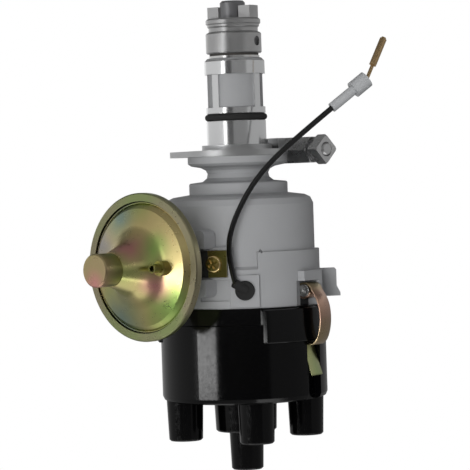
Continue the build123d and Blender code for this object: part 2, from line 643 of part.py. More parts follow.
# Fixed contact on its bracket, with the locking screw
anvil = arm_in + CONTACT_T + CONTACT_GAP
anvil_back = anvil + CONTACT_T
bracket_t = 1.4
bracket = block(
    CONTACT_X - 3.0, CONTACT_X + 3.0, anvil_back, anvil_back + bracket_t, turn_plate_top, arm_high)
bracket_foot_top = turn_plate_top + 1.2
bracket += block(
    CONTACT_X - 8.2, CONTACT_X + 3.0, anvil - 6.2, anvil_back + bracket_t, turn_plate_top, bracket_foot_top)
lock_x, lock_y = CONTACT_X - 5.2, anvil - 3.1
bracket -= rod(1.6, turn_plate_top - CUT, bracket_foot_top + CUT, lock_x, lock_y)
save("contact_bracket", bracket)
save("fixed_contact", rod_y(CONTACT_R, anvil, anvil_back, CONTACT_X, contact_z))
save("contact_screw", rod(2.6, bracket_foot_top, bracket_foot_top + 1.7, lock_x, lock_y)
     + rod(1.5, turn_plate_top, bracket_foot_top, lock_x, lock_y))

# Terminal post that anchors the arm's leaf spring and the lead
terminal_top = arm_high + 2.0
terminal_post = rod(2.0, turn_plate_top, terminal_top, POST_X, POST_Y)
leaf_y = ARM_Y - ARM_T / 2 - 0.2
spring_line = Polyline((-7.0, leaf_y), (2.0, leaf_y), (POST_X - 2.3, POST_Y))
spring_leaf = extrude(Pos(0, 0, arm_low + 1.5) * trace(spring_line, 0.4), 3.0)
save("arm_spring", spring_leaf)

# Capacitor on the breaker plate, with its strap and screw
strap_t = 0.7
capacitor_z = turn_plate_top + CAPACITOR_R + strap_t
save("capacitor", rod_y(CAPACITOR_R, -5.0, 13.0, CAPACITOR_X, capacitor_z))
strap = rod_y(CAPACITOR_R + strap_t, 1.0, 7.0, CAPACITOR_X, capacitor_z)
strap += block(
    CAPACITOR_X - 3.0, CAPACITOR_X + CAPACITOR_R, 1.0, 7.0, turn_plate_top, turn_plate_top + strap_t + 0.1)
save("capacitor_strap", strap - rod_y(CAPACITOR_R, 0, 8, CAPACITOR_X, capacitor_z))

# Vacuum unit, drawn along X and turned to its angle


def can_turned(face):
    """Solid of revolution about the can's own axis, from a face in (radius, distance)."""
    return facing(CAN_ANGLE, Pos(0, 0, can_z) * Rot(0, 90, 0) * revolve(Plane.XZ * face, Axis.Z))


def outlined(*points):
    return make_face(Polyline(*points, close=True))


def flare(shift):
    """Dish, flare and cone of the lid as one line, moved towards the can's inside by shift."""
    return FilletPolyline(
        (CAN_R - DISH_INSET - shift, can_joint + DISH_RISE - shift),
        (FLARE_R - shift, can_joint + FLARE_RISE - shift),
        (SNOUT_R + 0.2 - shift, cone_end), radius=FLARE_ROUND + shift)


stem_hole_r = 4.6
rear_low_r = 22.0
save("vacuum_rear_shell", can_turned(outlined(
    (stem_hole_r, can_back), (rear_low_r, can_back), (CAN_R - 3.0, can_joint - 3.0),
    (CAN_R - 0.6, can_joint - 1.6), (CAN_R, can_joint - 0.6), (CAN_R, hem_top - 0.5), (CAN_R - 0.6, hem_top),
    (hem_in_r, hem_top), (hem_in_r, hem_low), (CAN_R - CAN_WALL, hem_low), (CAN_R - CAN_WALL, can_joint),
    (CAN_R - 4.6, can_joint), (rear_low_r - 0.6, can_back + CAN_WALL), (stem_hole_r, can_back + CAN_WALL))))

# Lid: its flange lies under the hem, then dish, flare and cone
lid_out_r = hem_in_r - 1.0
outer_line = Polyline((lid_edge, lid_low), (lid_edge, hem_low), (lid_out_r, hem_low), flare(0) @ 0) + flare(0)
inner_line = flare(LID_WALL) + Polyline(flare(LID_WALL) @ 0, (lid_out_r - LID_WALL, lid_low), (lid_edge, lid_low))
front = can_turned(make_face(outer_line + Line(flare(0) @ 1, flare(LID_WALL) @ 1) + inner_line))
nipple_hole = rod_x(NIPPLE_ROOT_R, can_joint, snout_end, -NIPPLE_AT, can_z)
front -= facing(CAN_ANGLE, nipple_hole)
save("vacuum_front_shell", front)
plug_r = SNOUT_R + 0.2 - LID_WALL
plug_t = 0.9
save("vacuum_end_cap", can_turned(outlined(
    (0, cone_end - plug_t), (plug_r - MOULD, cone_end - plug_t), (plug_r - MOULD, cone_end),
    (SNOUT_R, cone_end), (SNOUT_R, snout_end - 0.6), (SNOUT_R - 0.6, snout_end), (0, snout_end))))

# Nipple: a root through the dish, a collar on it and the tube that takes the hose
collar_z = can_joint + NIPPLE_COLLAR_RISE
nipple_low = can_joint + DISH_RISE
nipple = rod_x(NIPPLE_ROOT_R, nipple_low, collar_z)
nipple += rod_x(NIPPLE_R, collar_z, collar_z + NIPPLE_LENGTH)
nipple -= rod_x(NIPPLE_BORE_R, nipple_low - CUT, collar_z + NIPPLE_LENGTH + CUT)
nipple_collar = rod_x(NIPPLE_COLLAR_R, nipple_low + 1.0, collar_z) - rod_x(NIPPLE_ROOT_R, nipple_low, snout_end)
lid_solid = can_turned(make_face(outer_line + Polyline(
    flare(0) @ 1, (0, cone_end), (0, lid_low), (lid_edge, lid_low))))
save("vacuum_nipple", facing(CAN_ANGLE, Pos(0, -NIPPLE_AT, can_z) * nipple)
     + (facing(CAN_ANGLE, Pos(0, -NIPPLE_AT, can_z) * nipple_collar) - lid_solid))

# Diaphragm between the shells, with its plate, and the return spring
stem_r = 4.0
save("diaphragm", can_turned(outlined(
    (stem_r, can_joint), (lid_edge, can_joint), (lid_edge, lid_low), (stem_r, lid_low))))
plate_r, plate_t = 17.0, 1.0
seat_top = lid_low + 1.2
save("diaphragm_plate", can_turned(outlined(
    (0, can_joint - plate_t), (plate_r, can_joint - plate_t), (plate_r, can_joint), (stem_r, can_joint),
    (stem_r, lid_low), (6.5, lid_low), (6.5, seat_top), (0, seat_top))))
save("vacuum_spring", can_turned(outlined(
    (4.6, seat_top), (5.8, seat_top), (5.8, cone_end - plug_t), (4.6, cone_end - plug_t))))

# Link from the diaphragm to the breaker plate pin: a stem, a drop and a flat bar with an open eye
stem_end = boss_r + 3.5
elbow_x = lower_cavity_r - 3.0
link = rod_x(2.0, stem_end, can_joint - plate_t, 0, can_z)
link += block(stem_end - 2.0, stem_end, -2.5, 2.5, link_z, can_z + 2.5)
bar = make_hull((Pos(stem_end - 3.0, 0) * Circle(2.5)).edges() + (Pos(elbow_x, 0) * Circle(2.5)).edges())
bar2 = make_hull((Pos(elbow_x, 0) * Circle(2.5)).edges() + (Pos(0, LINK_PIN_AT) * Circle(3.6)).edges())
link += extrude(Pos(0, 0, link_z) * bar, LINK_T) + extrude(Pos(0, 0, link_z) * bar2, LINK_T)
eye_half = LINK_PIN_R + 0.12
link -= block(-eye_half, eye_half, LINK_PIN_AT - eye_half - 0.5, LINK_PIN_AT + eye_half + 0.1,
              link_z - CUT, link_z + LINK_T + CUT)
save("vacuum_link", facing(CAN_ANGLE, link))

# Bracket from the can's back to the pad on the bowl, the clamping tab and its screw
strip_y = -11.4
back_flange = block(can_back - TAB_T, can_back, strip_y, 10.0, can_z - TAB_HALF, can_z + TAB_HALF)
back_flange -= rod_x(stem_hole_r, can_back - 3, can_back + CUT, 0, can_z)
strip = block(tab_seat + 0.4, can_back, strip_y, strip_y + TAB_T, can_z - TAB_HALF, can_z + TAB_HALF)
tab_hole = rod_x(TAB_SCREW_R + 0.4, tab_seat - CUT, tab_top + 2, 0, can_z)
tab = block(tab_seat, tab_top, -6.4, 8.4, can_z - TAB_HALF, can_z + TAB_HALF) - tab_hole
save("vacuum_bracket", facing(CAN_ANGLE, back_flange + strip) + facing(TAB_ANGLE, tab))
washer_plate_top = tab_top + 1.0
tab_plate = block(tab_top, washer_plate_top, -6.6, 2.8, can_z - TAB_HALF - 0.1, can_z + TAB_HALF + 0.1)
save("vacuum_tab", facing(TAB_ANGLE, tab_plate - tab_hole))
tab_screw = rod_x(TAB_SCREW_HEAD_R, washer_plate_top, washer_plate_top + 2.2, 0, can_z)
tab_screw = fillet(tab_screw.edges().group_by(Axis.X)[-1], 1.1)
tab_screw += rod_x(TAB_SCREW_R, tab_hole_end + 0.2, washer_plate_top, 0, can_z)
for w, h in ((0.5, 2.6), (2.6, 0.5)):
    tab_screw -= block(washer_plate_top + 1.0, washer_plate_top + 3, -w, w, can_z - h, can_z + h)
save("vacuum_screw", facing(TAB_ANGLE, tab_screw))

# Cap: a rim band, a step down to the clip recesses, a turret and five towers
shell_in_r = cap_spigot_r - CAP_SPIGOT_WALL
cap = turned([
    (shell_in_r, spigot_z + 1.5), (cap_spigot_r, spigot_z + 1.5), (cap_spigot_r, rim_z), (cap_band_r, rim_z),
    (cap_band_r, cap_band_top), (cap_r, cap_band_top + 0.3),
    (cap_r, cap_top - 2.6), (cap_r - 0.8, cap_top - 0.8), (cap_r - 2.6, cap_top), (0, cap_top),
    (0, cap_roof), (cap_cavity_r - 2, cap_roof), (cap_cavity_r, cap_roof - 2), (cap_cavity_r, rim_z + 4),
    (shell_in_r, rim_z + 1)])


def tower(root_r, tip_r, top, x=0.0, y=0.0):
    """Tapered tower that stands on the cap's roof, with a chamfer round its tip."""
    return Pos(x, y, 0) * turned([
        (0, cap_roof), (root_r, cap_roof), (tip_r, top - TOWER_CHAMFER), (tip_r - TOWER_CHAMFER, top), (0, top)])


towers = [at_angle(tower_at, TOWER_ANGLE + 90 * n) for n in range(4)]
for x, y in towers:
    cap += tower(TOWER_ROOT_R, TOWER_TIP_R, tower_top, x, y)
    cap += rod(ELECTRODE_R + ELECTRODE_WALL, blade_z + 5, cap_roof + CUT, x, y)
    cap -= rod(SOCKET_R, tower_top - SOCKET_DEPTH, tower_top + CUT, x, y)
    cap -= rod(ELECTRODE_R, electrode_low, tower_top, x, y)
socket_floor = coil_tower_top - SOCKET_DEPTH
insert_low = socket_floor - INSERT_T
cap += tower(TURRET_ROOT_R, TURRET_TIP_R, turret_top) + tower(TOWER_ROOT_R, COIL_TOWER_TIP_R, coil_tower_top)
cap += rod(BRUSH_BOSS_R, cap_roof - BRUSH_BOSS_H, cap_roof + CUT)
cap -= rod(SOCKET_R, socket_floor, coil_tower_top + CUT)
cap -= rod(INSERT_R, insert_low, socket_floor + CUT)
cap -= rod(BRUSH_R + MOULD, blade_z, insert_low + CUT)
recess_half = 21.0
groove_half = CLIP_W / 2 + 1.0
groove_r = cap_r - 4.0
for angle in (CLIP_ANGLE, CLIP_ANGLE + 180):
    cap -= sector(cap_band_r, cap_r + CUT, cap_band_top - CUT, clip_recess_top, angle - recess_half, angle + 42)
    cap -= facing(angle, block(groove_r, cap_r + CUT, -groove_half, groove_half, hook_z, cap_top + CUT))
save("cap", cap)

electrodes = []
for x, y in towers:
    electrodes.append(rod(ELECTRODE_R, electrode_low, tower_top - SOCKET_DEPTH, x, y))
save("cap_electrodes", Compound(children=electrodes))
brush_stop = insert_low - 3.0
save("coil_insert", rod(INSERT_R, insert_low, socket_floor) + rod(BRUSH_R + MOULD, brush_stop, insert_low))
save("carbon_brush", rod(BRUSH_R, brush_low, brush_top))
save("brush_spring", tube(1.9, 1.3, brush_top, brush_stop))

# Cap clips: eye, bulge, hook over the cap's shoulder and the thumb tail in its groove
bulge_r = eye_at + CLIP_BULGE
hook_line = FilletPolyline(
    (eye_at + 2.0, eye_z + 1.6), (eye_at + 4.1, eye_z + 2.6), (bulge_r, rim_z + 2.6), (bulge_r, hook_z - 6.2),
    (bulge_r - 3.0, hook_z - 0.6), (groove_r + 1.0, hook_z + 1.6), (groove_r + 2.0, hook_z + 5.6),
    (groove_r + 5.3, hook_z + 16.8), radius=2.0)
eye = rod_y(CLIP_PIN_R + RUN + CLIP_T, -CLIP_W / 2, CLIP_W / 2, eye_at, eye_z)
clip = extrude(Plane.XZ * trace(hook_line, CLIP_T), CLIP_W / 2, both=True) + eye
clip -= rod_y(CLIP_PIN_R + RUN, -CLIP_W, CLIP_W, eye_at, eye_z)
clip_pin = rod_y(CLIP_PIN_R, -lug_half + 0.2, CLIP_W / 2 + 0.2, eye_at, eye_z)
clip_pin -= rod_y(CLIP_PIN_R - 0.7, 0, CLIP_W, eye_at, eye_z)
save("cap_clip_front", facing(CLIP_ANGLE, clip))
save("cap_clip_rear", facing(CLIP_ANGLE + 180, clip))
save("clip_pins", Compound(children=[facing(CLIP_ANGLE, clip_pin), facing(CLIP_ANGLE + 180, clip_pin)]))

# Clamp plate, drawn with its slit facing +X and turned to the bolt
slit_angle = BOLT_ANGLE - 90
plate_low = -FACE / 2 - PLATE_T
ear_x, ear_y = at_angle(EAR_HOLE_AT, EAR_ANGLE - slit_angle)
flat = make_hull(Circle(PLATE_R).edges() + (Pos(ear_x, ear_y) * Circle(EAR_R)).edges())
clamp = extrude(Pos(0, 0, plate_low) * flat, PLATE_T)
clamp += rod(clamp_collar_r, plate_low - CLAMP_COLLAR_T, plate_low)
jaw_high = BOLT_Z + JAW_HALF
jaws = block(BOLT_AT - JAW_ROOT, BOLT_AT + JAW_REACH, -JAW_END, JAW_END, BOLT_Z - JAW_HALF, jaw_high)
jaws -= rod(FLANGE_R + SIDE, plate_low + PLATE_T, jaw_high + CUT)
clamp += jaws
sleeve_corner = JAW_HALF / math.cos(math.pi / 6)
clamp -= block(BOLT_AT - sleeve_corner - SIDE, BOLT_AT + 9, JAW_END, sleeve_end, plate_low - CUT, CUT)
clamp_low = min(plate_low - CLAMP_COLLAR_T, BOLT_Z - JAW_HALF) - CUT
clamp -= rod(clamp_bore_r, clamp_low, jaw_high + CUT)
clamp -= block(clamp_bore_r - 5, BOLT_AT + JAW_REACH + CUT, -SLIT / 2, SLIT / 2, clamp_low, jaw_high + CUT)
clamp -= rod_y(BOLT_R, -JAW_END - CUT, JAW_END + CUT, BOLT_AT, BOLT_Z)
clamp -= rod(EAR_HOLE_R, plate_low - CUT, CUT, ear_x, ear_y)
save("clamp_plate", facing(slit_angle, clamp))


def prism_y(radius, sides, start, end, spin):
    """Prism along Y on the bolt line, from the radius of its corners."""
    bar = extrude(Rot(0, 0, spin) * RegularPolygon(radius, sides), end - start)
    return Pos(BOLT_AT, end, BOLT_Z) * Rot(90, 0, 0) * bar


bolt_end = nut_end + BOLT_PAST_NUT
bolt_hole = rod_y(BOLT_R, -JAW_END, bolt_end, BOLT_AT, BOLT_Z)
sleeve = prism_y(sleeve_corner, 6, JAW_END, sleeve_end, 0)
save("pinch_sleeve", facing(slit_angle, sleeve - bolt_hole))
washer = rod_y(SPRING_WASHER_R, sleeve_end, washer_end, BOLT_AT, BOLT_Z)
save("spring_washer", facing(slit_angle, washer - bolt_hole))
nut_corner = NUT_AF / math.sqrt(2)
nut = prism_y(nut_corner, 4, washer_end, nut_end, 0) & rod_y(nut_corner - 0.5, washer_end, nut_end, BOLT_AT, BOLT_Z)
save("pinch_nut", facing(slit_angle, nut - bolt_hole))
bolt = rod_y(BOLT_R, -JAW_END, bolt_end, BOLT_AT, BOLT_Z)
bolt += prism_y(BOLT_HEAD_R, 6, -JAW_END - BOLT_HEAD_T, -JAW_END, 30)
save("pinch_bolt", facing(slit_angle, bolt))

# Low tension lead: outside run, and the thin run inside the bowl to the terminal post
lead_points = [
    (38.6, -21.5, 62.5), (42.6, -19.4, 46.5), (40.3, -23.2, 30.0), (32.4, -31.8, 10.5), (18.0, -44.8, -7.0),
    (-10.8, -69.8, -35.2)]
inner_points = [
    (29.0, -20.3, 66.0), (23.8, -17.6, 65.6), (16.0, -19.5, 61.5), (POST_X, POST_Y, terminal_top - 0.3)]


def cord(name, points, radius):
    """Lead as straight runs with tangent arcs; each arc takes 0.45 of the shorter run beside it."""
    corners = [Vector(*p) for p in points]
    radii = []
    for before, here, after in zip(corners, corners[1:], corners[2:]):
        turn = math.radians((here - before).get_angle(after - here))
        radii.append(0.45 * min((here - before).length, (after - here).length) / math.tan(turn / 2))
    line = FilletPolyline(*points, radius=radii)
    body = sweep(Plane(origin=line @ 0, z_dir=line % 0) * Circle(radius), path=line)
    print(name, "length", round(line.length, 1), "radii", [round(r, 1) for r in radii])
    print("volume", round(body.volume, 1), "of", round(line.length * math.pi * radius ** 2, 1))
    save(name, body)
    return body


lead = cord("lt_lead", lead_points, LEAD_R)
inner_lead = cord("lt_lead_inner", inner_points, INNER_LEAD_R)
save("terminal_post", terminal_post - inner_lead)

# Grommet: disc outside, plug through the wall and a nose that leads the cable away
grommet_top = grommet_seat + GROMMET_T
face = Vector(*at_angle(grommet_top - 0.8, GROMMET_ANGLE), grommet_z - 0.6)
nose_end = Vector(*lead_points[0])
nose_dir = (nose_end - face).normalized()
plug_end = upper_cavity_r + 2.0
grommet = rod_x(GROMMET_R, grommet_seat, grommet_top, 0, grommet_z)
grommet += rod_x(grommet_plug_r, plug_end, grommet_seat, 0, grommet_z)
grommet = fillet(grommet.edges().group_by(Axis.X)[-1], 0.9)
nose = bar_along(face, nose_dir, -1.0, (nose_end - face).length + 0.9, GROMMET_NOSE_R)
wire_hole = rod_x(INNER_LEAD_R, plug_end - CUT, plug_end + 2.0, 0, grommet_z)
save("lt_grommet", facing(GROMMET_ANGLE, grommet) + nose - lead - facing(GROMMET_ANGLE, wire_hole))

# Sleeve on the lead's end, and the bullet terminal crimped to the wire
lead_end = Vector(*lead_points[-1])
run_dir = (lead_end - Vector(*lead_points[-2])).normalized()
sleeve_body = bar_along(lead_end, run_dir, -22.6, -8.4, 2.45) + bar_along(lead_end, run_dir, -8.4, 0.4, 4.2)
save("terminal_sleeve", sleeve_body - lead)
bullet_end = Vector(-20.3, -75.3, -55.8)
bullet_start = lead_end + run_dir * 0.6
bullet_dir = (bullet_end - bullet_start).normalized()
reach = (bullet_end - bullet_start).length
bullet = bar_along(bullet_start, bullet_dir, 0.2, 8.5, 0.9)
bullet += bar_along(bullet_start, bullet_dir, 7.5, reach - 0.8, BULLET_R)
bullet += bar_along(bullet_start, bullet_dir, reach - 0.9, reach, 1.2)
save("bullet_terminal", bullet)
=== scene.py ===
import math

import bmesh
import bpy
from bpy.props import FloatProperty, FloatVectorProperty, IntProperty, PointerProperty
from mathutils import Matrix, Vector


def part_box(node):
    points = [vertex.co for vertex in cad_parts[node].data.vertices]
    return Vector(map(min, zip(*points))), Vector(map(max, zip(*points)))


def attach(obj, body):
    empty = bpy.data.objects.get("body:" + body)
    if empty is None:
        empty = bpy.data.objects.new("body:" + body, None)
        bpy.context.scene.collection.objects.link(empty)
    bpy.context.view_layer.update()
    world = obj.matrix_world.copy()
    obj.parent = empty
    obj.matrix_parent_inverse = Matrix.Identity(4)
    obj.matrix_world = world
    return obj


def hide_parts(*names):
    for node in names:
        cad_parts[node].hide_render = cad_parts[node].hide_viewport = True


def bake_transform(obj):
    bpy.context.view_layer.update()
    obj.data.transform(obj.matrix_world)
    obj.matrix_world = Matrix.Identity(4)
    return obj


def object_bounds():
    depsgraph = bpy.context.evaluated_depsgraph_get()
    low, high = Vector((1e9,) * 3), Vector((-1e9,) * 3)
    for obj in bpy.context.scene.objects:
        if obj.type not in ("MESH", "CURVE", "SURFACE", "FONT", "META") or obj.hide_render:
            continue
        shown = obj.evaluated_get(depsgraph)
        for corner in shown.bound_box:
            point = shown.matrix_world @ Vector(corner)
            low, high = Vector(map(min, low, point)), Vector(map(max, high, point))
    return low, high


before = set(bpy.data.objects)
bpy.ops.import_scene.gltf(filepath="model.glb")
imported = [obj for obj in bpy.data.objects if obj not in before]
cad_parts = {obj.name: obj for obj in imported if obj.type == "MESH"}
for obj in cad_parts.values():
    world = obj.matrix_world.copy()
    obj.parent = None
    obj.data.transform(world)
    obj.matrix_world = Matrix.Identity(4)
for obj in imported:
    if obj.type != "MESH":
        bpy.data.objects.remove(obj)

bl_info = {
    "name": "Ignition Distributor Dresser",
    "version": (1, 0, 0),
    "blender": (4, 5, 0),
    "location": "3D View > Sidebar > Distributor",
    "description": "Finishes an ignition distributor: castings, plating, cap, springs, lead and studio",
    "category": "Object",
}

CAD_LOW, CAD_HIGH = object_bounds()
MM = 0.001

# Directions and places that several pieces share, in metres
CAN_ANGLE = math.radians(8.5)
CAN_AXIS = Vector((math.cos(CAN_ANGLE), math.sin(CAN_ANGLE), 0.0))
CAN_SIDE = Vector((-math.sin(CAN_ANGLE), math.cos(CAN_ANGLE), 0.0))
CAN_HEIGHT = sum(p.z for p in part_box("vacuum_end_cap")) / 2
CLIP_EYE_AT = 39.5 * MM
CLIP_EYE_HEIGHT = 67.7 * MM
CLIP_WIDTH = 10.0 * MM
BOLT_ANGLE = math.radians(-75.0)
BOLT_LINE = Vector((math.cos(BOLT_ANGLE), math.sin(BOLT_ANGLE), 0.0))
BOLT_OUT = Vector((BOLT_LINE.y, -BOLT_LINE.x, 0.0))
BOLT_AT = 30.0 * MM
BOLT_HEIGHT = -2.0 * MM
BOLT_RADIUS = 3.0 * MM
JAW_END = 9.0 * MM
TAB_ANGLE = math.radians(-15.0)
TAB_LINE = Vector((math.cos(TAB_ANGLE), math.sin(TAB_ANGLE), 0.0))
SCREW_HEAD_RADIUS = 4.2 * MM
SCREW_HEAD_HEIGHT = 2.2 * MM
SCREW_RADIUS = 1.6 * MM

# Route of the low tension lead, the same points as the solid's
LEAD_ROUTE = [
    (0.0386, -0.0215, 0.0625), (0.0426, -0.0194, 0.0465), (0.0403, -0.0232, 0.0300),
    (0.0324, -0.0318, 0.0105), (0.0180, -0.0448, -0.0070), (-0.0108, -0.0698, -0.0352)]
INNER_ROUTE = [
    (0.0290, -0.0203, 0.0660), (0.0238, -0.0176, 0.0656), (0.0160, -0.0195, 0.0615),
    (0.0125, -0.0236, 0.0556)]


# Settings that a user would change

def colour_setting(name, description, default):
    return FloatVectorProperty(
        name=name, description=description, default=default, size=3, subtype="COLOR", min=0.0, max=1.0)


def share_setting(name, description, default):
    return FloatProperty(
        name=name, description=description, default=default, subtype="FACTOR", min=0.0, max=1.0)


def size_setting(name, description, default, least=0.1 * MM):
    return FloatProperty(name=name, description=description, default=default, unit="LENGTH", min=least)


def angle_setting(name, description, degrees):
    return FloatProperty(
        name=name, description=description, default=math.radians(degrees), subtype="ANGLE")


def turns_setting(name, description, default):
    return IntProperty(name=name, description=description, default=default, min=2)


class CastingSettings(bpy.types.PropertyGroup):
    colour: colour_setting("Colour", "Colour of the cast alloy", (0.40, 0.405, 0.415))
    turned_colour: colour_setting("Turned colour", "Colour of the turned shank", (0.74, 0.745, 0.75))
    grain: size_setting("Grain", "Size of the casting's grain", 0.7 * MM)
    roughness: share_setting("Roughness", "Mean roughness of the cast skin", 0.58)
    turned_roughness: share_setting("Turned roughness", "Roughness of the turned shank", 0.17)
    metal: share_setting("Metal", "Share of mirror-like metal in the blasted skin", 0.15)


class PlatingSettings(bpy.types.PropertyGroup):
    gold: colour_setting("Gold", "Main colour of the passivated zinc", (0.60, 0.49, 0.22))
    pink: colour_setting("Pink", "Pink patches of the film", (0.66, 0.31, 0.27))
    green: colour_setting("Green", "Green patches of the film", (0.27, 0.43, 0.11))
    grey: colour_setting("Grey", "Lilac grey patches of the film", (0.38, 0.36, 0.34))
    teal: colour_setting("Teal", "Blue green patches of the film", (0.27, 0.35, 0.28))
    patch: size_setting("Patch", "Width of a colour patch", 28 * MM, least=1.0 * MM)
    roughness: share_setting("Roughness", "Roughness of the plating", 0.29)


class CapSettings(bpy.types.PropertyGroup):
    colour: colour_setting("Colour", "Colour of the moulding", (0.0015, 0.0015, 0.0017))
    roughness: share_setting("Roughness", "Roughness of the moulded skin", 0.13)
    ripple: size_setting("Ripple", "Width of the skin's ripple", 1.6 * MM)


class LeadSettings(bpy.types.PropertyGroup):
    radius: size_setting("Radius", "Outer radius of the lead", 1.35 * MM, least=0.3 * MM)
    inner_radius: size_setting(
        "Inner radius", "Radius of the run inside the bowl", 0.9 * MM, least=0.3 * MM)
    colour: colour_setting("Colour", "Colour of the insulation", (0.003, 0.003, 0.003))


class SpringSettings(bpy.types.PropertyGroup):
    weight_turns: turns_setting("Weight spring turns", "Turns of each weight spring", 11)
    weight_wire: size_setting("Weight spring wire", "Wire radius of a weight spring", 0.4 * MM)
    vacuum_turns: turns_setting("Vacuum spring turns", "Turns of the vacuum unit's spring", 8)
    brush_turns: turns_setting("Brush spring turns", "Turns of the spring behind the brush", 14)


class StudioSettings(bpy.types.PropertyGroup):
    lens: FloatProperty(
        name="Lens", description="Focal length of the camera", default=184.9, unit="CAMERA", min=1.0)
    distance: size_setting("Distance", "Camera to the shaft's axis", 1.2166, least=0.1)
    azimuth: angle_setting("Azimuth", "Direction of the camera, from +X", -33.085)
    elevation: angle_setting("Elevation", "Camera above the horizon", -1.401)
    roll: angle_setting("Roll", "Turn of the picture past upside down", 1.925)
    aim_side: size_setting(
        "Aim side", "How far the picture's centre lies to the right of the shaft", -1.2 * MM, least=-0.5)
    aim_height: size_setting(
        "Aim height", "How far the picture's centre lies above the clamp seat", 39.8 * MM, least=-0.5)
    fill: FloatProperty(
        name="Fill", description="Strength of the even light from all sides", default=0.12, min=0.0)
    floor_gap: size_setting("Floor gap", "Floor below the lowest point", 54 * MM, least=0.0)


# Helpers for meshes

def link(obj):
    bpy.context.scene.collection.objects.link(obj)
    return obj


def mesh_object(name, mesh):
    mesh.name = name
    return link(bpy.data.objects.new(name, mesh))


def solid(name, shape, smooth=False):
    """Mesh object from a bmesh, whose faces are turned outwards first."""
    bmesh.ops.recalc_face_normals(shape, faces=shape.faces)
    mesh = bpy.data.meshes.new(name)
    shape.to_mesh(mesh)
    shape.free()
    for face in mesh.polygons:
        face.use_smooth = smooth
    return mesh_object(name, mesh)


def skin(shape, loops):
    """Faces between each closed loop of vertices and the next."""
    for one, other in zip(loops, loops[1:]):
        for k in range(len(one)):
            after = (k + 1) % len(one)
            shape.faces.new((one[k], one[after], other[after], other[k]))


def paint(material, *names):
    """Gives CAD nodes a material without touching their meshes."""
    for name in names:
        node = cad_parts[name]
        if not node.material_slots:
            node.data.materials.append(material)
        for spot in node.material_slots:
            spot.material = material


def nurbs(name, points, radius=0.0):
    """Curve object whose control points are the route's points."""
    curve = bpy.data.curves.new(name, "CURVE")
    curve.dimensions = "3D"
    curve.resolution_u = 24
    curve.bevel_depth = radius
    curve.bevel_resolution = 6
    curve.use_fill_caps = radius > 0
    spline = curve.splines.new("NURBS")
    spline.points.add(len(points) - 1)
    for spot, place in zip(spline.points, points):
        spot.co = (*place, 1.0)
    spline.order_u = 3
    spline.use_endpoint_u = True
    return link(bpy.data.objects.new(name, curve))


def plain_mesh(obj, name):
    """Turns an object with modifiers or a bevel into a plain mesh object and removes the first."""
    graph = bpy.context.evaluated_depsgraph_get()
    mesh = bpy.data.meshes.new_from_object(obj.evaluated_get(graph))
    bpy.data.objects.remove(obj)
    for face in mesh.polygons:
        face.use_smooth = True
    return mesh_object(name, mesh)


def lathe(name, profile, origin, axis, steps=64):
    """Solid of revolution from (radius, distance) pairs, about an axis through origin."""
    shape = bmesh.new()
    turn = axis.to_track_quat("Z", "Y").to_matrix()
    rings = []
    for radius, along in profile:
        if radius == 0:
            rings.append([shape.verts.new(origin + turn @ Vector((0, 0, along)))])
            continue
        ring = []
        for k in range(steps):
            angle = math.tau * k / steps
            place = Vector((radius * math.cos(angle), radius * math.sin(angle), along))
            ring.append(shape.verts.new(origin + turn @ place))
        rings.append(ring)
    for low, high in zip(rings, rings[1:]):
        for k in range(steps):
            after = (k + 1) % steps
            corners = [
                low[k % len(low)], low[after % len(low)], high[after % len(high)], high[k % len(high)]]
            unique = list(dict.fromkeys(corners))
            if len(unique) > 2:
                shape.faces.new(unique)
    return solid(name, shape, smooth=True)


# Helpers for materials

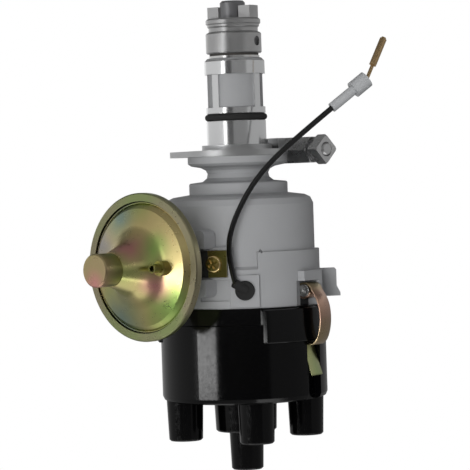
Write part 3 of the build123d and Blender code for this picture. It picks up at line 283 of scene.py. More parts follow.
class Recipe:
    """A material's node tree, with short ways to add the nodes that the finishes use."""

    def __init__(self, name):
        self.material = bpy.data.materials.new(name)
        self.material.use_nodes = True
        self.tree = self.material.node_tree
        self.shader = self.tree.nodes["Principled BSDF"]
        self.place = self.add("ShaderNodeTexCoord").outputs["Object"]

    def feed(self, socket, value):
        """Links or sets one socket, a colour being given as three numbers."""
        if isinstance(value, bpy.types.NodeSocket):
            self.tree.links.new(value, socket)
        elif socket.type == "RGBA":
            socket.default_value = (*value, 1.0)
        else:
            socket.default_value = value

    def add(self, kind, **inputs):
        node = self.tree.nodes.new(kind)
        for name, value in inputs.items():
            self.feed(node.inputs[name.replace("_", " ")], value)
        return node

    def set(self, **inputs):
        """Values and links for the shader's own sockets."""
        for name, value in inputs.items():
            self.feed(self.shader.inputs[name.replace("_", " ")], value)

    def noise(self, size, detail=2.0, roughness=0.5, place=None):
        """Noise whose cells are about one size wide."""
        place = place or self.place
        node = self.add(
            "ShaderNodeTexNoise", Vector=place, Detail=detail, Roughness=roughness, Scale=1.0 / size)
        return node.outputs["Fac"]

    def maths(self, kind, first, second=0.0, clamp=False):
        node = self.tree.nodes.new("ShaderNodeMath")
        node.operation = kind
        node.use_clamp = clamp
        for socket, value in zip(node.inputs, (first, second)):
            self.feed(socket, value)
        return node.outputs[0]

    def spread(self, value, low, high, start=0.0, end=1.0, kind="LINEAR"):
        """Maps low..high of a value to start..end."""
        node = self.add(
            "ShaderNodeMapRange", Value=value, From_Min=low, From_Max=high, To_Min=start, To_Max=end)
        node.interpolation_type = kind
        return node.outputs["Result"]

    def mix(self, share, first, second, kind="RGBA"):
        node = self.tree.nodes.new("ShaderNodeMix")
        node.data_type = kind
        sockets = [s for s in node.inputs if s.enabled]
        for socket, value in zip(sockets, (share, first, second)):
            self.feed(socket, value)
        return [s for s in node.outputs if s.enabled][0]

    def bump(self, height, depth, under=None):
        """Relief on the shader, over an earlier normal if one is given."""
        node = self.add("ShaderNodeBump", Height=height, Strength=1.0, Distance=depth)
        if under is not None:
            self.tree.links.new(under, node.inputs["Normal"])
        self.tree.links.new(node.outputs["Normal"], self.shader.inputs["Normal"])
        return node.outputs["Normal"]

    def rounded(self, radius):
        """Normal that looks as if the edges were rounded."""
        node = self.add("ShaderNodeBevel", Radius=radius)
        node.samples = 4
        return node.outputs["Normal"]

    def vectors(self, kind, first, second=(0.0, 0.0, 0.0)):
        node = self.tree.nodes.new("ShaderNodeVectorMath")
        node.operation = kind
        self.feed(node.inputs[0], first)
        node.inputs[1].default_value = second
        return node.outputs

    def height(self):
        return self.add("ShaderNodeSeparateXYZ", Vector=self.place).outputs["Z"]

    def radius(self):
        """Distance from the shaft's axis."""
        flat = self.vectors("MULTIPLY", self.place, (1.0, 1.0, 0.0))[0]
        return self.vectors("LENGTH", flat)["Value"]

    def from_axis(self, point, axis):
        """Distance from a line through point along axis."""
        gap = self.vectors("SUBTRACT", self.place, point)[0]
        cross = self.vectors("CROSS_PRODUCT", gap, axis)[0]
        return self.vectors("LENGTH", cross)["Value"]

    def away_from(self, point, reach):
        """1 at a point, falling smoothly to 0 at reach."""
        gap = self.vectors("DISTANCE", self.place, point)["Value"]
        return self.spread(gap, 0.0, reach, 1.0, 0.0, kind="SMOOTHSTEP")


def metal(name, colour, roughness, grain=0.6 * MM, depth=0.01 * MM, change=0.06):
    """Plain metal with a fine grain, a slow change of roughness and a slight change of colour."""
    r = Recipe(name)
    slow = r.noise(9 * MM, detail=3.0)
    fine = r.noise(grain, detail=3.0)
    dull = tuple(c * (1.0 - change * 2.2) for c in colour)
    r.set(Base_Color=r.mix(slow, dull, colour), Metallic=1.0)
    r.set(Roughness=r.spread(slow, 0.3, 0.7, roughness - change, roughness + change))
    r.bump(fine, depth)
    return r.material


# Materials of this object

def cast_and_turned(settings):
    """The housing: cast skin above the clamp seat, turned shank below it, cast again inside the pockets."""
    r = Recipe("housing_alloy")
    height = r.height()
    below = r.spread(height, 0.1 * MM, -0.1 * MM)
    outside = r.spread(r.radius(), 14.2 * MM, 14.4 * MM)
    turned = r.maths("MULTIPLY", below, outside, clamp=True)
    fine = r.noise(settings.grain, detail=5.0, roughness=0.65)
    slow = r.noise(16 * MM, detail=4.0)
    stain = r.noise(4 * MM, detail=5.0, roughness=0.7)
    cast_dull = tuple(c * 0.86 for c in settings.colour)
    cast = r.mix(slow, cast_dull, settings.colour)
    cast = r.mix(r.spread(stain, 0.62, 0.80, 0.0, 0.25), cast, tuple(c * 0.6 for c in settings.colour))
    lines = r.noise(0.25 * MM, detail=2.0, place=r.add("ShaderNodeCombineXYZ", Z=height).outputs[0])
    bright = r.mix(lines, tuple(c * 0.93 for c in settings.turned_colour), settings.turned_colour)
    r.set(Base_Color=r.mix(turned, cast, bright), Metallic=r.spread(turned, 0.0, 1.0, settings.metal, 1.0))
    rough_cast = r.spread(slow, 0.3, 0.7, settings.roughness - 0.06, settings.roughness + 0.06)
    r.set(Roughness=r.mix(turned, rough_cast, settings.turned_roughness, kind="FLOAT"))
    cast_only = r.maths("SUBTRACT", 1.0, turned)
    pitted = r.bump(r.maths("MULTIPLY", fine, cast_only), 0.09 * MM, under=r.rounded(0.4 * MM))
    r.bump(r.maths("MULTIPLY", lines, turned), 0.004 * MM, under=pitted)
    return r.material


def plating(settings, name="zinc_film", base=None, zones=(), dark=1.0, painted_shade_radius=None):
    """Yellow passivated zinc, whose colour drifts, with zones (centre, reach, colour) of its own."""
    r = Recipe(name)
    slow = r.noise(settings.patch, detail=1.5, roughness=0.4)
    base = Vector(base or settings.gold) * dark
    olive = (base + Vector(settings.green) * dark) / 2
    colour = r.mix(r.spread(slow, 0.40, 0.62), base, olive)
    drift = r.maths("MULTIPLY", r.maths("SUBTRACT", r.noise(9 * MM, detail=1.0), 0.5), 0.9)
    for centre, reach, tint in zones:
        near = r.away_from(centre, reach)
        share = r.maths("MULTIPLY", near, r.maths("ADD", 1.0, drift), clamp=True)
        colour = r.mix(share, colour, Vector(tint) * dark)
    # Painted shade: the colour goes near black in a thin ring at the lid's rim, where it runs under the rear
    # shell's hem.
    if painted_shade_radius:
        far = r.from_axis((0, 0, CAN_HEIGHT), CAN_AXIS)
        colour = r.mix(r.spread(far, painted_shade_radius - 0.5 * MM, painted_shade_radius), colour, (0.012, 0.012, 0.010))
    fine = r.noise(2.5 * MM, detail=2.0)
    r.set(Base_Color=colour, Metallic=1.0)
    r.set(Roughness=r.spread(fine, 0.3, 0.7, settings.roughness - 0.02, settings.roughness + 0.03))
    r.bump(r.noise(5 * MM, detail=1.0), 0.012 * MM)
    return r.material


def on_can(along, side, height):
    """Point of the vacuum unit from its distance along the axis, sideways and above it, in millimetres."""
    return CAN_AXIS * along * MM + CAN_SIDE * side * MM + Vector((0, 0, CAN_HEIGHT + height * MM))


def moulding(settings):
    """Gloss black thermoset with a faint ripple and fine specks."""
    r = Recipe("cap_moulding")
    ripple = r.noise(settings.ripple, detail=2.0)
    speck = r.noise(0.35 * MM, detail=1.0)
    r.set(Base_Color=r.mix(speck, tuple(c * 0.7 for c in settings.colour), settings.colour))
    r.set(Roughness=r.spread(ripple, 0.3, 0.7, settings.roughness - 0.03, settings.roughness + 0.05))
    r.set(Specular_IOR_Level=0.22)
    wave = r.bump(ripple, 0.01 * MM, under=r.rounded(0.35 * MM))
    r.bump(speck, 0.004 * MM, under=wave)
    return r.material


def soft_black(name, colour, roughness, grain=0.5 * MM, gloss=0.5):
    """Rubber and cable insulation."""
    r = Recipe(name)
    fine = r.noise(grain, detail=3.0)
    r.set(Base_Color=r.mix(fine, tuple(c * 0.6 for c in colour), colour), Specular_IOR_Level=gloss)
    r.set(Roughness=r.spread(fine, 0.3, 0.7, roughness - 0.05, roughness + 0.08))
    r.bump(fine, 0.01 * MM)
    return r.material


def moulded_brown():
    r = Recipe("rotor_moulding")
    slow = r.noise(3 * MM, detail=4.0)
    r.set(Base_Color=r.mix(slow, (0.10, 0.025, 0.015), (0.16, 0.045, 0.025)))
    r.set(Roughness=r.spread(slow, 0.3, 0.7, 0.2, 0.35))
    r.bump(r.noise(0.8 * MM), 0.01 * MM)
    return r.material


def fibre():
    r = Recipe("fibre")
    fine = r.noise(0.6 * MM, detail=5.0, roughness=0.7)
    r.set(Base_Color=r.mix(fine, (0.16, 0.06, 0.03), (0.30, 0.13, 0.06)))
    r.set(Roughness=r.spread(fine, 0.3, 0.7, 0.55, 0.75))
    r.bump(fine, 0.03 * MM)
    return r.material


def frosted_sleeve():
    """Grey insulating sleeve of clear plastic."""
    r = Recipe("sleeve_plastic")
    slow = r.noise(4 * MM, detail=2.0)
    r.set(Base_Color=r.mix(slow, (0.40, 0.41, 0.42), (0.52, 0.53, 0.54)))
    r.set(Roughness=r.spread(slow, 0.3, 0.7, 0.32, 0.40))
    return r.material


def stores():
    """The materials that several pieces share, made once."""
    made = bpy.data.materials.get("bright_steel")
    if made is None:
        metal("bright_steel", (0.62, 0.62, 0.61), 0.28)
        metal("turned_steel", (0.70, 0.70, 0.69), 0.2, grain=0.3 * MM, depth=0.004 * MM)
        metal("dark_steel", (0.20, 0.195, 0.19), 0.32)
        metal("clamp_alloy", (0.58, 0.585, 0.59), 0.42, grain=0.5 * MM, depth=0.02 * MM)
        metal("clamp_steel", (0.64, 0.64, 0.64), 0.30, grain=0.8 * MM, depth=0.03 * MM, change=0.12)
        metal("brass", (0.72, 0.50, 0.20), 0.27)
        metal("bright_brass", (0.95, 0.72, 0.34), 0.22)
        metal("worn_brass", (0.66, 0.46, 0.24), 0.34, grain=1.4 * MM, depth=0.08 * MM, change=0.2)
        metal("dog_steel", (0.52, 0.52, 0.52), 0.33)
        metal("bronze", (0.45, 0.28, 0.12), 0.5, depth=0.03 * MM)
        metal("contact_metal", (0.75, 0.75, 0.74), 0.12)
        # Near-black metal that is painted shade, for the vacuum unit's bracket.
        metal("black_steel", (0.03, 0.03, 0.032), 0.4)
        soft_black("rubber", (0.012, 0.012, 0.012), 0.45)
        soft_black("carbon", (0.03, 0.03, 0.03), 0.5)
        soft_black("dark_fibre", (0.06, 0.055, 0.05), 0.6)
        moulded_brown()
        fibre()
    return bpy.data.materials


# Springs, made by one node tree

def coil_tree():
    """Node tree of a helical spring along +Z, from the sizes that are its inputs."""
    tree = bpy.data.node_groups.new("CoilSpring", "GeometryNodeTree")
    face = tree.interface
    face.new_socket("Geometry", in_out="INPUT", socket_type="NodeSocketGeometry")
    sockets = {}
    for name in ("Turns", "Coil Radius", "Wire Radius", "Length"):
        sockets[name] = face.new_socket(name, in_out="INPUT", socket_type="NodeSocketFloat")
    sockets["Finish"] = face.new_socket("Finish", in_out="INPUT", socket_type="NodeSocketMaterial")
    face.new_socket("Geometry", in_out="OUTPUT", socket_type="NodeSocketGeometry")
    node, wires = tree.nodes.new, tree.links.new
    given = node("NodeGroupInput").outputs
    spiral = node("GeometryNodeCurveSpiral")
    spiral.inputs["Resolution"].default_value = 20
    wires(given["Turns"], spiral.inputs["Rotations"])
    wires(given["Coil Radius"], spiral.inputs["Start Radius"])
    wires(given["Coil Radius"], spiral.inputs["End Radius"])
    wires(given["Length"], spiral.inputs["Height"])
    ring = node("GeometryNodeCurvePrimitiveCircle")
    ring.inputs["Resolution"].default_value = 10
    wires(given["Wire Radius"], ring.inputs["Radius"])
    tube = node("GeometryNodeCurveToMesh")
    tube.inputs["Fill Caps"].default_value = True
    wires(spiral.outputs["Curve"], tube.inputs["Curve"])
    wires(ring.outputs["Curve"], tube.inputs["Profile Curve"])
    real = node("GeometryNodeRealizeInstances")
    wires(tube.outputs["Mesh"], real.inputs["Geometry"])
    dressed = node("GeometryNodeSetMaterial")
    wires(real.outputs["Geometry"], dressed.inputs["Geometry"])
    wires(given["Finish"], dressed.inputs["Material"])
    wires(dressed.outputs["Geometry"], node("NodeGroupOutput").inputs["Geometry"])
    return tree, sockets


def coil(name, start, end, radius, wire, turns, finish):
    """Plain mesh of a spring whose coils run from start to end."""
    tree, sockets = coil_tree()
    start, end = Vector(start), Vector(end)
    holder = mesh_object(name + "_tree", bpy.data.meshes.new(name))
    maker = holder.modifiers.new("Coil", "NODES")
    maker.node_group = tree
    values = {
        "Turns": float(turns), "Coil Radius": radius, "Wire Radius": wire, "Length": (end - start).length,
        "Finish": finish}
    for key, value in values.items():
        maker[sockets[key].identifier] = value
    spring = plain_mesh(holder, name)
    turn = (end - start).to_track_quat("Z", "Y").to_matrix().to_4x4()
    spring.data.transform(Matrix.Translation(start) @ turn)
    bpy.data.node_groups.remove(tree)
    return spring


# Operators, one for each piece or group of like pieces

class FinishHousing(bpy.types.Operator):
    """Gives the housing its cast and turned skins, and its bush and ring their own"""

    bl_idname = "distributor.finish_housing"
    bl_label = "Finish Housing"

    def execute(self, context):
        shared = stores()
        paint(cast_and_turned(context.scene.distributor_casting), "housing")
        paint(shared["bronze"], "shank_bush")
        paint(shared["rubber"], "shank_o_ring")
        return {"FINISHED"}


class FinishDrive(bpy.types.Operator):
    """Finishes the shaft, its dog, pin and washers"""

    bl_idname = "distributor.finish_drive"
    bl_label = "Finish Drive"

    def execute(self, context):
        shared = stores()
        paint(shared["dark_steel"], "drive_shaft", "dog_pin")
        paint(shared["dog_steel"], "drive_dog")
        paint(shared["turned_steel"], "thrust_washer_steel", "distance_collar")
        paint(shared["dark_fibre"], "thrust_washer_fibre")
        return {"FINISHED"}


# The clamp's bolt, sleeve and nut, in metres from the bolt line's middle
HEAD_START = -13.0 * MM
HEAD_RADIUS = 5.0 * MM
HEAD_EDGE = 0.4 * MM
SLEEVE_FLATS = 13.0 * MM
SLEEVE_LENGTH = 16.5 * MM
NUT_START = 27.0 * MM
NUT_FLATS = 10.6 * MM
NUT_LENGTH = 6.6 * MM
BOLT_END = 34.4 * MM
BOLT_POINT = 0.5 * MM
PITCH = 0.8 * MM
THREADS = 14


def nut_shape(name, sides, flats, start, length, chamfer, sink, hole=BOLT_RADIUS):
    """Nut or hexagonal sleeve on the bolt line, with turned chamfers and a countersunk hole."""
    steps = 24 * sides
    shape = bmesh.new()
    origin = BOLT_OUT * BOLT_AT + BOLT_LINE * start + Vector((0, 0, BOLT_HEIGHT))
    edge = flats / 2 + chamfer
    columns = []
    for k in range(steps):
        angle = math.tau * k / steps
        off = angle % (math.tau / sides) - math.pi / sides
        reach = flats / 2 / math.cos(off)
        drop = max(0.0, reach - edge) * math.tan(math.radians(30))
        rim = min(edge, reach)
        rows = [(hole, sink), (hole + sink, 0.0), (rim, 0.0), (reach, drop),
                (reach, length - drop), (rim, length), (hole + sink, length), (hole, length - sink)]
        ray = BOLT_OUT * math.cos(angle) + Vector((0, 0, math.sin(angle)))
        columns.append([shape.verts.new(origin + ray * far + BOLT_LINE * at) for far, at in rows])
    skin(shape, columns + columns[:1])
    bmesh.ops.remove_doubles(shape, verts=shape.verts, dist=1e-7)
    return solid(name, shape)


class FinishClamp(bpy.types.Operator):
    """Finishes the clamp plate and makes its bolt, sleeve and nut with their chamfers"""

    bl_idname = "distributor.finish_clamp"
    bl_label = "Finish Clamp"

    def execute(self, context):
        shared = stores()
        paint(shared["clamp_alloy"], "clamp_plate")
        paint(shared["dark_steel"], "spring_washer")
        sleeve = nut_shape(
            "hex_sleeve", 6, SLEEVE_FLATS, JAW_END, SLEEVE_LENGTH, chamfer=0.35 * MM, sink=0.3 * MM)
        nut = nut_shape("square_nut", 4, NUT_FLATS, NUT_START, NUT_LENGTH, chamfer=1.2 * MM, sink=0.7 * MM)
        line = [
            (0, HEAD_START), (HEAD_RADIUS - HEAD_EDGE, HEAD_START), (HEAD_RADIUS, HEAD_START + HEAD_EDGE),
            (HEAD_RADIUS, -JAW_END), (BOLT_RADIUS, -JAW_END)]
        for k in range(THREADS):
            at = BOLT_END - BOLT_POINT - (THREADS - k) * PITCH
            line += [(BOLT_RADIUS, at), (BOLT_RADIUS - PITCH / 2, at + PITCH / 2)]
        line += [(BOLT_RADIUS, BOLT_END - BOLT_POINT), (BOLT_RADIUS - BOLT_POINT, BOLT_END), (0, BOLT_END)]
        bolt = lathe("bolt", line, BOLT_OUT * BOLT_AT + Vector((0, 0, BOLT_HEIGHT)), BOLT_LINE)
        for piece, node in ((sleeve, "pinch_sleeve"), (nut, "pinch_nut"), (bolt, "pinch_bolt")):
            for face in piece.data.polygons:
                face.use_smooth = False
            piece.data.materials.append(shared["clamp_steel"])
            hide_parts(node)
            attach(piece, "clamp")
        return {"FINISHED"}


# Slots of the cross recess: width, length and depth, middle above the head, turn of the first in radians
RECESS = (1.3 * MM, 5.0 * MM, 3.0 * MM)
RECESS_RISE = 0.3 * MM
RECESS_TURN = 0.5


def cross_head(name):
    """Pan head screw with a cross recess, in the place of the screw that holds the vacuum unit."""
    low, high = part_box("vacuum_screw")
    top = (high.x + SCREW_HEAD_RADIUS * math.sin(TAB_ANGLE)) / math.cos(TAB_ANGLE)
    seat = top - SCREW_HEAD_HEIGHT
    tip = (low.x - SCREW_RADIUS * math.sin(TAB_ANGLE)) / math.cos(TAB_ANGLE)
    outline = [(0, tip), (SCREW_RADIUS, tip), (SCREW_RADIUS, seat), (SCREW_HEAD_RADIUS, seat)]
    for k in range(9):
        turn = math.radians(90 * k / 8)
        rise = 0.25 + 0.6 * math.sin(turn)
        outline.append((SCREW_HEAD_RADIUS * (0.75 + 0.25 * math.cos(turn)), seat + SCREW_HEAD_HEIGHT * rise))
    outline.append((0, top))
    centre = Vector((0, 0, CAN_HEIGHT))
    head = lathe(name + "_blank", outline, centre, TAB_LINE, steps=48)
    cutters = []
    for turn in (RECESS_TURN, RECESS_TURN + math.pi / 2):
        cutter = bmesh.new()
        bmesh.ops.create_cube(cutter, size=1.0)
        slot = solid(name + "_slot", cutter)
        slot.data.transform(Matrix.Diagonal((*RECESS, 1.0)))
        slot.data.transform(Matrix.Rotation(turn, 4, "Z"))
        slot.data.transform(TAB_LINE.to_track_quat("Z", "Y").to_matrix().to_4x4())
        slot.data.transform(Matrix.Translation(centre + TAB_LINE * (top + RECESS_RISE)))
        cut = head.modifiers.new("Slot", "BOOLEAN")
        cut.operation, cut.solver, cut.object = "DIFFERENCE", "EXACT", slot
        cutters.append(slot)
    screw = plain_mesh(head, name)
    for slot in cutters:
        bpy.data.objects.remove(slot)
    for face in screw.data.polygons:
        face.use_smooth = False
    return screw


class FinishVacuumUnit(bpy.types.Operator):
    """Finishes the vacuum unit's shells, nipple, bracket, tab and screw"""

    bl_idname = "distributor.finish_vacuum_unit"
    bl_label = "Finish Vacuum Unit"

    def execute(self, context):
        shared = stores()
        settings = context.scene.distributor_plating
        zones = [
            (on_can(77, 26, -10), 20 * MM, settings.grey), (on_can(77, 12, -26), 16 * MM, settings.teal),
            (on_can(77, 14, 27), 22 * MM, settings.teal), (on_can(77, -22, 18), 20 * MM, settings.green),
            (on_can(80, -14, -11), 11 * MM, settings.green), (on_can(86, -3, -9), 14 * MM, settings.pink),
            (on_can(78, -14, 9), 11 * MM, settings.pink), (on_can(96, 0, 9), 10 * MM, settings.gold)]
        plug_zones = [(on_can(104, 0, 6), 9 * MM, settings.pink)]
        # The lid's film has a ring of painted shade at its rim, under the rear shell's hem.
        paint(plating(settings, "lid_film", zones=zones, painted_shade_radius=31.6 * MM), "vacuum_front_shell")
        paint(plating(settings, "shell_film", base=(0.40, 0.36, 0.23), dark=0.85), "vacuum_rear_shell")
        paint(plating(settings, "plug_film", base=(0.52, 0.36, 0.22), zones=plug_zones), "vacuum_end_cap")
        paint(plating(settings, "gold_film", dark=0.8), "vacuum_nipple", "vacuum_tab")
        # Painted shade: the bracket is near black to stand in for the shade of the slot that it runs into.
        paint(shared["black_steel"], "vacuum_bracket")
        screw = cross_head("tab_screw")
        screw.data.materials.append(shared["bright_brass"])
        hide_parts("vacuum_screw")
        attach(screw, "body")
        paint(shared["rubber"], "diaphragm")
        paint(shared["bright_steel"], "diaphragm_plate", "vacuum_link")
        return {"FINISHED"}


# Seat of a clip on the cap, in millimetres and degrees
SEAT_FOOT, SEAT_RISE = 40.6, 2.5
SEAT_LOW, SEAT_HIGH = 75.4, 92.4
SEAT_HALF, SEAT_SLOPE = math.radians(45), math.radians(4.2)


def clip_seat(name, angle, steps=120):
    """Raised seat on the cap, from its rim band to the clip's hook, with sloped ends."""
    shape = bmesh.new()
    columns = []
    for k in range(steps + 1):
        turn = -SEAT_HALF + 2 * SEAT_HALF * k / steps
        rise = SEAT_RISE * min(1.0, (SEAT_HALF - abs(turn)) / SEAT_SLOPE)
        rows = [
            (SEAT_FOOT, SEAT_LOW), (SEAT_FOOT + 0.8 * rise, SEAT_LOW + 0.8),
            (SEAT_FOOT + rise, SEAT_HIGH - 0.5), (SEAT_FOOT + 0.8 * rise, SEAT_HIGH), (SEAT_FOOT, SEAT_HIGH)]
        spot = Vector((math.cos(angle + turn), math.sin(angle + turn), 0.0)) * MM
        columns.append([shape.verts.new(spot * far + Vector((0, 0, at * MM))) for far, at in rows])
    skin(shape, columns)
    bmesh.ops.remove_doubles(shape, verts=shape.verts, dist=1e-7)
    bmesh.ops.holes_fill(shape, edges=[e for e in shape.edges if e.is_boundary])
    return solid(name, shape)


class FinishCap(bpy.types.Operator):
    """Finishes the cap's moulding and the parts moulded into it, and makes the seats of the clips"""

    bl_idname = "distributor.finish_cap"
    bl_label = "Finish Cap"

    def execute(self, context):
        shared = stores()
        black = moulding(context.scene.distributor_cap)
        paint(black, "cap")
        for name, angle in (("front_clip_seat", -math.pi / 2), ("rear_clip_seat", math.pi / 2)):
            seat = clip_seat(name, angle)
            seat.data.materials.append(black)
            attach(seat, "body")
        paint(shared["brass"], "cap_electrodes", "coil_insert")
        paint(shared["carbon"], "carbon_brush")
        return {"FINISHED"}


# Side line of a clip from under its eye to the thumb tail: distance from the shaft and height, in mm
CLIP_LINE = (
    (39.5, 64.1), (41.3, 64.1), (43.2, 65.6), (44.5, 68.3), (47.2, 72.4), (48.6, 78.0), (48.5, 85.0),
    (46.8, 91.0), (44.6, 94.0), (41.8, 94.6), (38.3, 93.0), (38.3, 96.2), (39.2, 99.6), (42.7, 109.9))
# Turns between which a clip is rolled round its pin, from straight outwards, in degrees
ROLL_START, ROLL_END = 10, 270


def clip_shape(name, angle, thick=0.9 * MM, eye=3.6 * MM):
    """Spring clip: a strip rolled round its pin, then the bulge, the hook and the thumb tail."""
    route = nurbs(name + "_route", [(x * MM, 0, z * MM) for x, z in CLIP_LINE])
    line = plain_mesh(route, name + "_line")
    points = [v.co.copy() for v in line.data.vertices]
    bpy.data.objects.remove(line)
    roll, steps = [], 26
    for k in range(steps):
        turn = math.radians(ROLL_START + (ROLL_END - ROLL_START) * k / steps)
        roll.append(Vector((CLIP_EYE_AT + eye * math.cos(turn), 0, CLIP_EYE_HEIGHT + eye * math.sin(turn))))
    points = roll + points
    shape = bmesh.new()
    rows = []
    for k, spot in enumerate(points):
        run = (points[min(k + 1, len(points) - 1)] - points[max(k - 1, 0)]).normalized()
        out = Vector((run.z, 0, -run.x)) * thick / 2
        side = Vector((0, CLIP_WIDTH / 2, 0))
        corners = ((1, 1), (1, -1), (-1, -1), (-1, 1))
        rows.append([shape.verts.new(spot + a * out + b * side) for a, b in corners])
    skin(shape, rows)
    shape.faces.new(rows[0])
    shape.faces.new(rows[-1])
    holder = solid(name + "_raw", shape)
    bevel = holder.modifiers.new("Edges", "BEVEL")
    bevel.width, bevel.segments = 0.18 * MM, 2
    bevel.limit_method, bevel.angle_limit = "ANGLE", math.radians(50)
    clip = plain_mesh(holder, name)
    clip.data.transform(Matrix.Rotation(angle, 4, "Z"))
    return clip


# Side line of a hollow pin: radius and distance along the pin, in millimetres
PIN_LINE = (
    (0, -8.2), (2.0, -8.2), (2.0, -5.0), (3.1, -4.9), (3.1, 5.0), (3.0, 5.2), (2.6, 5.2), (2.5, 5.0),
    (2.5, 1.0), (0, 1.6))


class FinishClips(bpy.types.Operator):
    """Makes the two spring clips and the hollow pins that they turn on"""

    bl_idname = "distributor.finish_clips"
    bl_label = "Finish Clips"

    def execute(self, context):
        shared = stores()
        settings = context.scene.distributor_plating
        line = [(radius * MM, at * MM) for radius, at in PIN_LINE]
        pins = []
        for name, angle in (("front", -math.pi / 2), ("rear", math.pi / 2)):
            spin = Matrix.Rotation(angle, 3, "Z")
            tail = spin @ Vector((41 * MM, 0, 108 * MM))
            zones = [(tail, 15 * MM, (0.30, 0.36, 0.16))]
            film = plating(settings, name + "_clip_film", base=(0.42, 0.27, 0.20), zones=zones)
            clip = clip_shape(name + "_clip", angle)
            clip.data.materials.append(film)
            node = "cap_clip_" + name
            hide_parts(node)
            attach(clip, "clip_" + name)
            centre = spin @ Vector((CLIP_EYE_AT, 0, CLIP_EYE_HEIGHT))
            pins.append(lathe(name + "_pin", line, centre, spin @ Vector((0, 1, 0)), steps=40))
        pair = join(*pins)
        pair.name = "hollow_pins"
        pair.data.materials.append(shared["bright_steel"])
        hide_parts("clip_pins")
        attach(pair, "body")
        return {"FINISHED"}


class FinishBreaker(bpy.types.Operator):
    """Finishes the contact breaker, its plates and the capacitor"""

    bl_idname = "distributor.finish_breaker"
    bl_label = "Finish Breaker"

    def execute(self, context):
        shared = stores()
        paint(plating(context.scene.distributor_plating, "plate_film"), "breaker_plate")
        paint(shared["bright_steel"], "base_plate", "base_screws", "breaker_arm", "contact_bracket")
        paint(shared["bright_steel"], "arm_spring", "capacitor", "capacitor_strap")
        paint(shared["fibre"], "breaker_heel")
        paint(shared["contact_metal"], "moving_contact", "fixed_contact")
        paint(shared["brass"], "contact_screw", "terminal_post")
        return {"FINISHED"}


class FinishAdvance(bpy.types.Operator):
    """Finishes the centrifugal advance, the cam and the rotor"""

    bl_idname = "distributor.finish_advance"
    bl_label = "Finish Advance"

    def execute(self, context):
        shared = stores()
        paint(shared["bright_steel"], "action_plate", "flyweight_a", "flyweight_b", "cam_screw")
        paint(shared["dark_steel"], "cam")
        paint(shared["rotor_moulding"], "rotor_arm")
        paint(shared["brass"], "rotor_blade", "rotor_spring")
        return {"FINISHED"}


# Where the weight springs hook on: distance from the shaft and angle, on the plate and on the cam's foot
POST_AT, POST_ANGLE = 25 * MM, math.radians(128)
FOOT_AT, FOOT_ANGLE = 13.5 * MM, math.radians(152)
HOOK_GAP = 2.2 * MM
HOOK_RADIUS = 1.25 * MM
WEIGHT_COIL_RADIUS = 1.5 * MM


class MakeSprings(bpy.types.Operator):
    """Winds the weight springs, the vacuum spring and the brush spring"""

    bl_idname = "distributor.make_springs"
    bl_label = "Make Springs"

    def execute(self, context):
        settings = context.scene.distributor_springs
        finish = stores()["bright_steel"]
        low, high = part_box("weight_springs")
        level = (low.z + high.z) / 2
        for name, half in (("weight_spring_a", 0.0), ("weight_spring_b", math.pi)):
            anchor = Vector((POST_AT, 0, level)) @ Matrix.Rotation(-POST_ANGLE - half, 3, "Z")
            foot = Vector((FOOT_AT, 0, level)) @ Matrix.Rotation(-FOOT_ANGLE - half, 3, "Z")
            along = (foot - anchor).normalized()
            reach = (foot - anchor).length
            start, end = anchor + along * HOOK_GAP, foot - along * HOOK_GAP
            wire = settings.weight_wire
            spring = coil(name, start, end, WEIGHT_COIL_RADIUS - wire, wire, settings.weight_turns, finish)
            hooks = [lathe_ring(name + "_eye", spot, HOOK_RADIUS, wire) for spot in (anchor, foot)]
            spring = join(spring, *hooks)
            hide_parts("weight_springs")
            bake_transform(spring)
        low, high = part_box("vacuum_spring")
        centre = (low + high) / 2
        radius = (high.z - low.z) / 2
        reach = ((high.x - low.x) - 2 * radius * math.sin(CAN_ANGLE)) / math.cos(CAN_ANGLE)
        half = CAN_AXIS * (reach / 2 - 0.7 * MM)
        start, end = centre - half, centre + half
        spring = coil("vacuum_coil", start, end, radius - 0.6 * MM, 0.55 * MM, settings.vacuum_turns, finish)
        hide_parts("vacuum_spring")
        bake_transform(spring)
        low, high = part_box("brush_spring")
        start, end = Vector((0, 0, low.z + 0.3 * MM)), Vector((0, 0, high.z - 0.3 * MM))
        spring = coil("brush_coil", start, end, 1.6 * MM, 0.25 * MM, settings.brush_turns, finish)
        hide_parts("brush_spring")
        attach(spring, "body")
        return {"FINISHED"}


def lathe_ring(name, centre, radius, wire):
    """Small closed ring of wire, lying flat."""
    steps = 8
    profile = []
    for k in range(steps + 1):
        angle = math.tau * k / steps
        profile.append((radius + wire * math.cos(angle), wire * math.sin(angle)))
    return lathe(name, profile, centre, Vector((0, 0, 1)), steps=24)


def join(first, *others):
    """One mesh object from several, keeping the first one's name and material."""
    shape = bmesh.new()
    for obj in (first, *others):
        shape.from_mesh(obj.data)
    for obj in others:
        bpy.data.objects.remove(obj)
    bmesh.ops.remove_doubles(shape, verts=shape.verts, dist=1e-7)
    shape.to_mesh(first.data)
    shape.free()
    for face in first.data.polygons:
        face.use_smooth = True
        face.material_index = 0
    return first


class MakeLead(bpy.types.Operator):
    """Makes the low tension lead and its run inside the bowl, and finishes its sleeve, its terminal and the
    grommet
    """

    bl_idname = "distributor.make_lead"
    bl_label = "Make Lead"

    def execute(self, context):
        settings = context.scene.distributor_lead
        shared = stores()
        insulation = soft_black("insulation", settings.colour, 0.14, grain=2.5 * MM, gloss=0.6)
        lead = nurbs("lead", LEAD_ROUTE, settings.radius)
        lead.data.materials.append(insulation)
        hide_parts("lt_lead")
        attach(lead, "body")
        inner = plain_mesh(nurbs("inner_lead_route", INNER_ROUTE, settings.inner_radius), "inner_lead")
        inner.data.materials.append(insulation)
        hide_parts("lt_lead_inner")
        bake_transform(inner)
        paint(frosted_sleeve(), "terminal_sleeve")
        paint(shared["worn_brass"], "bullet_terminal")
        paint(shared["rubber"], "lt_grommet")
        return {"FINISHED"}


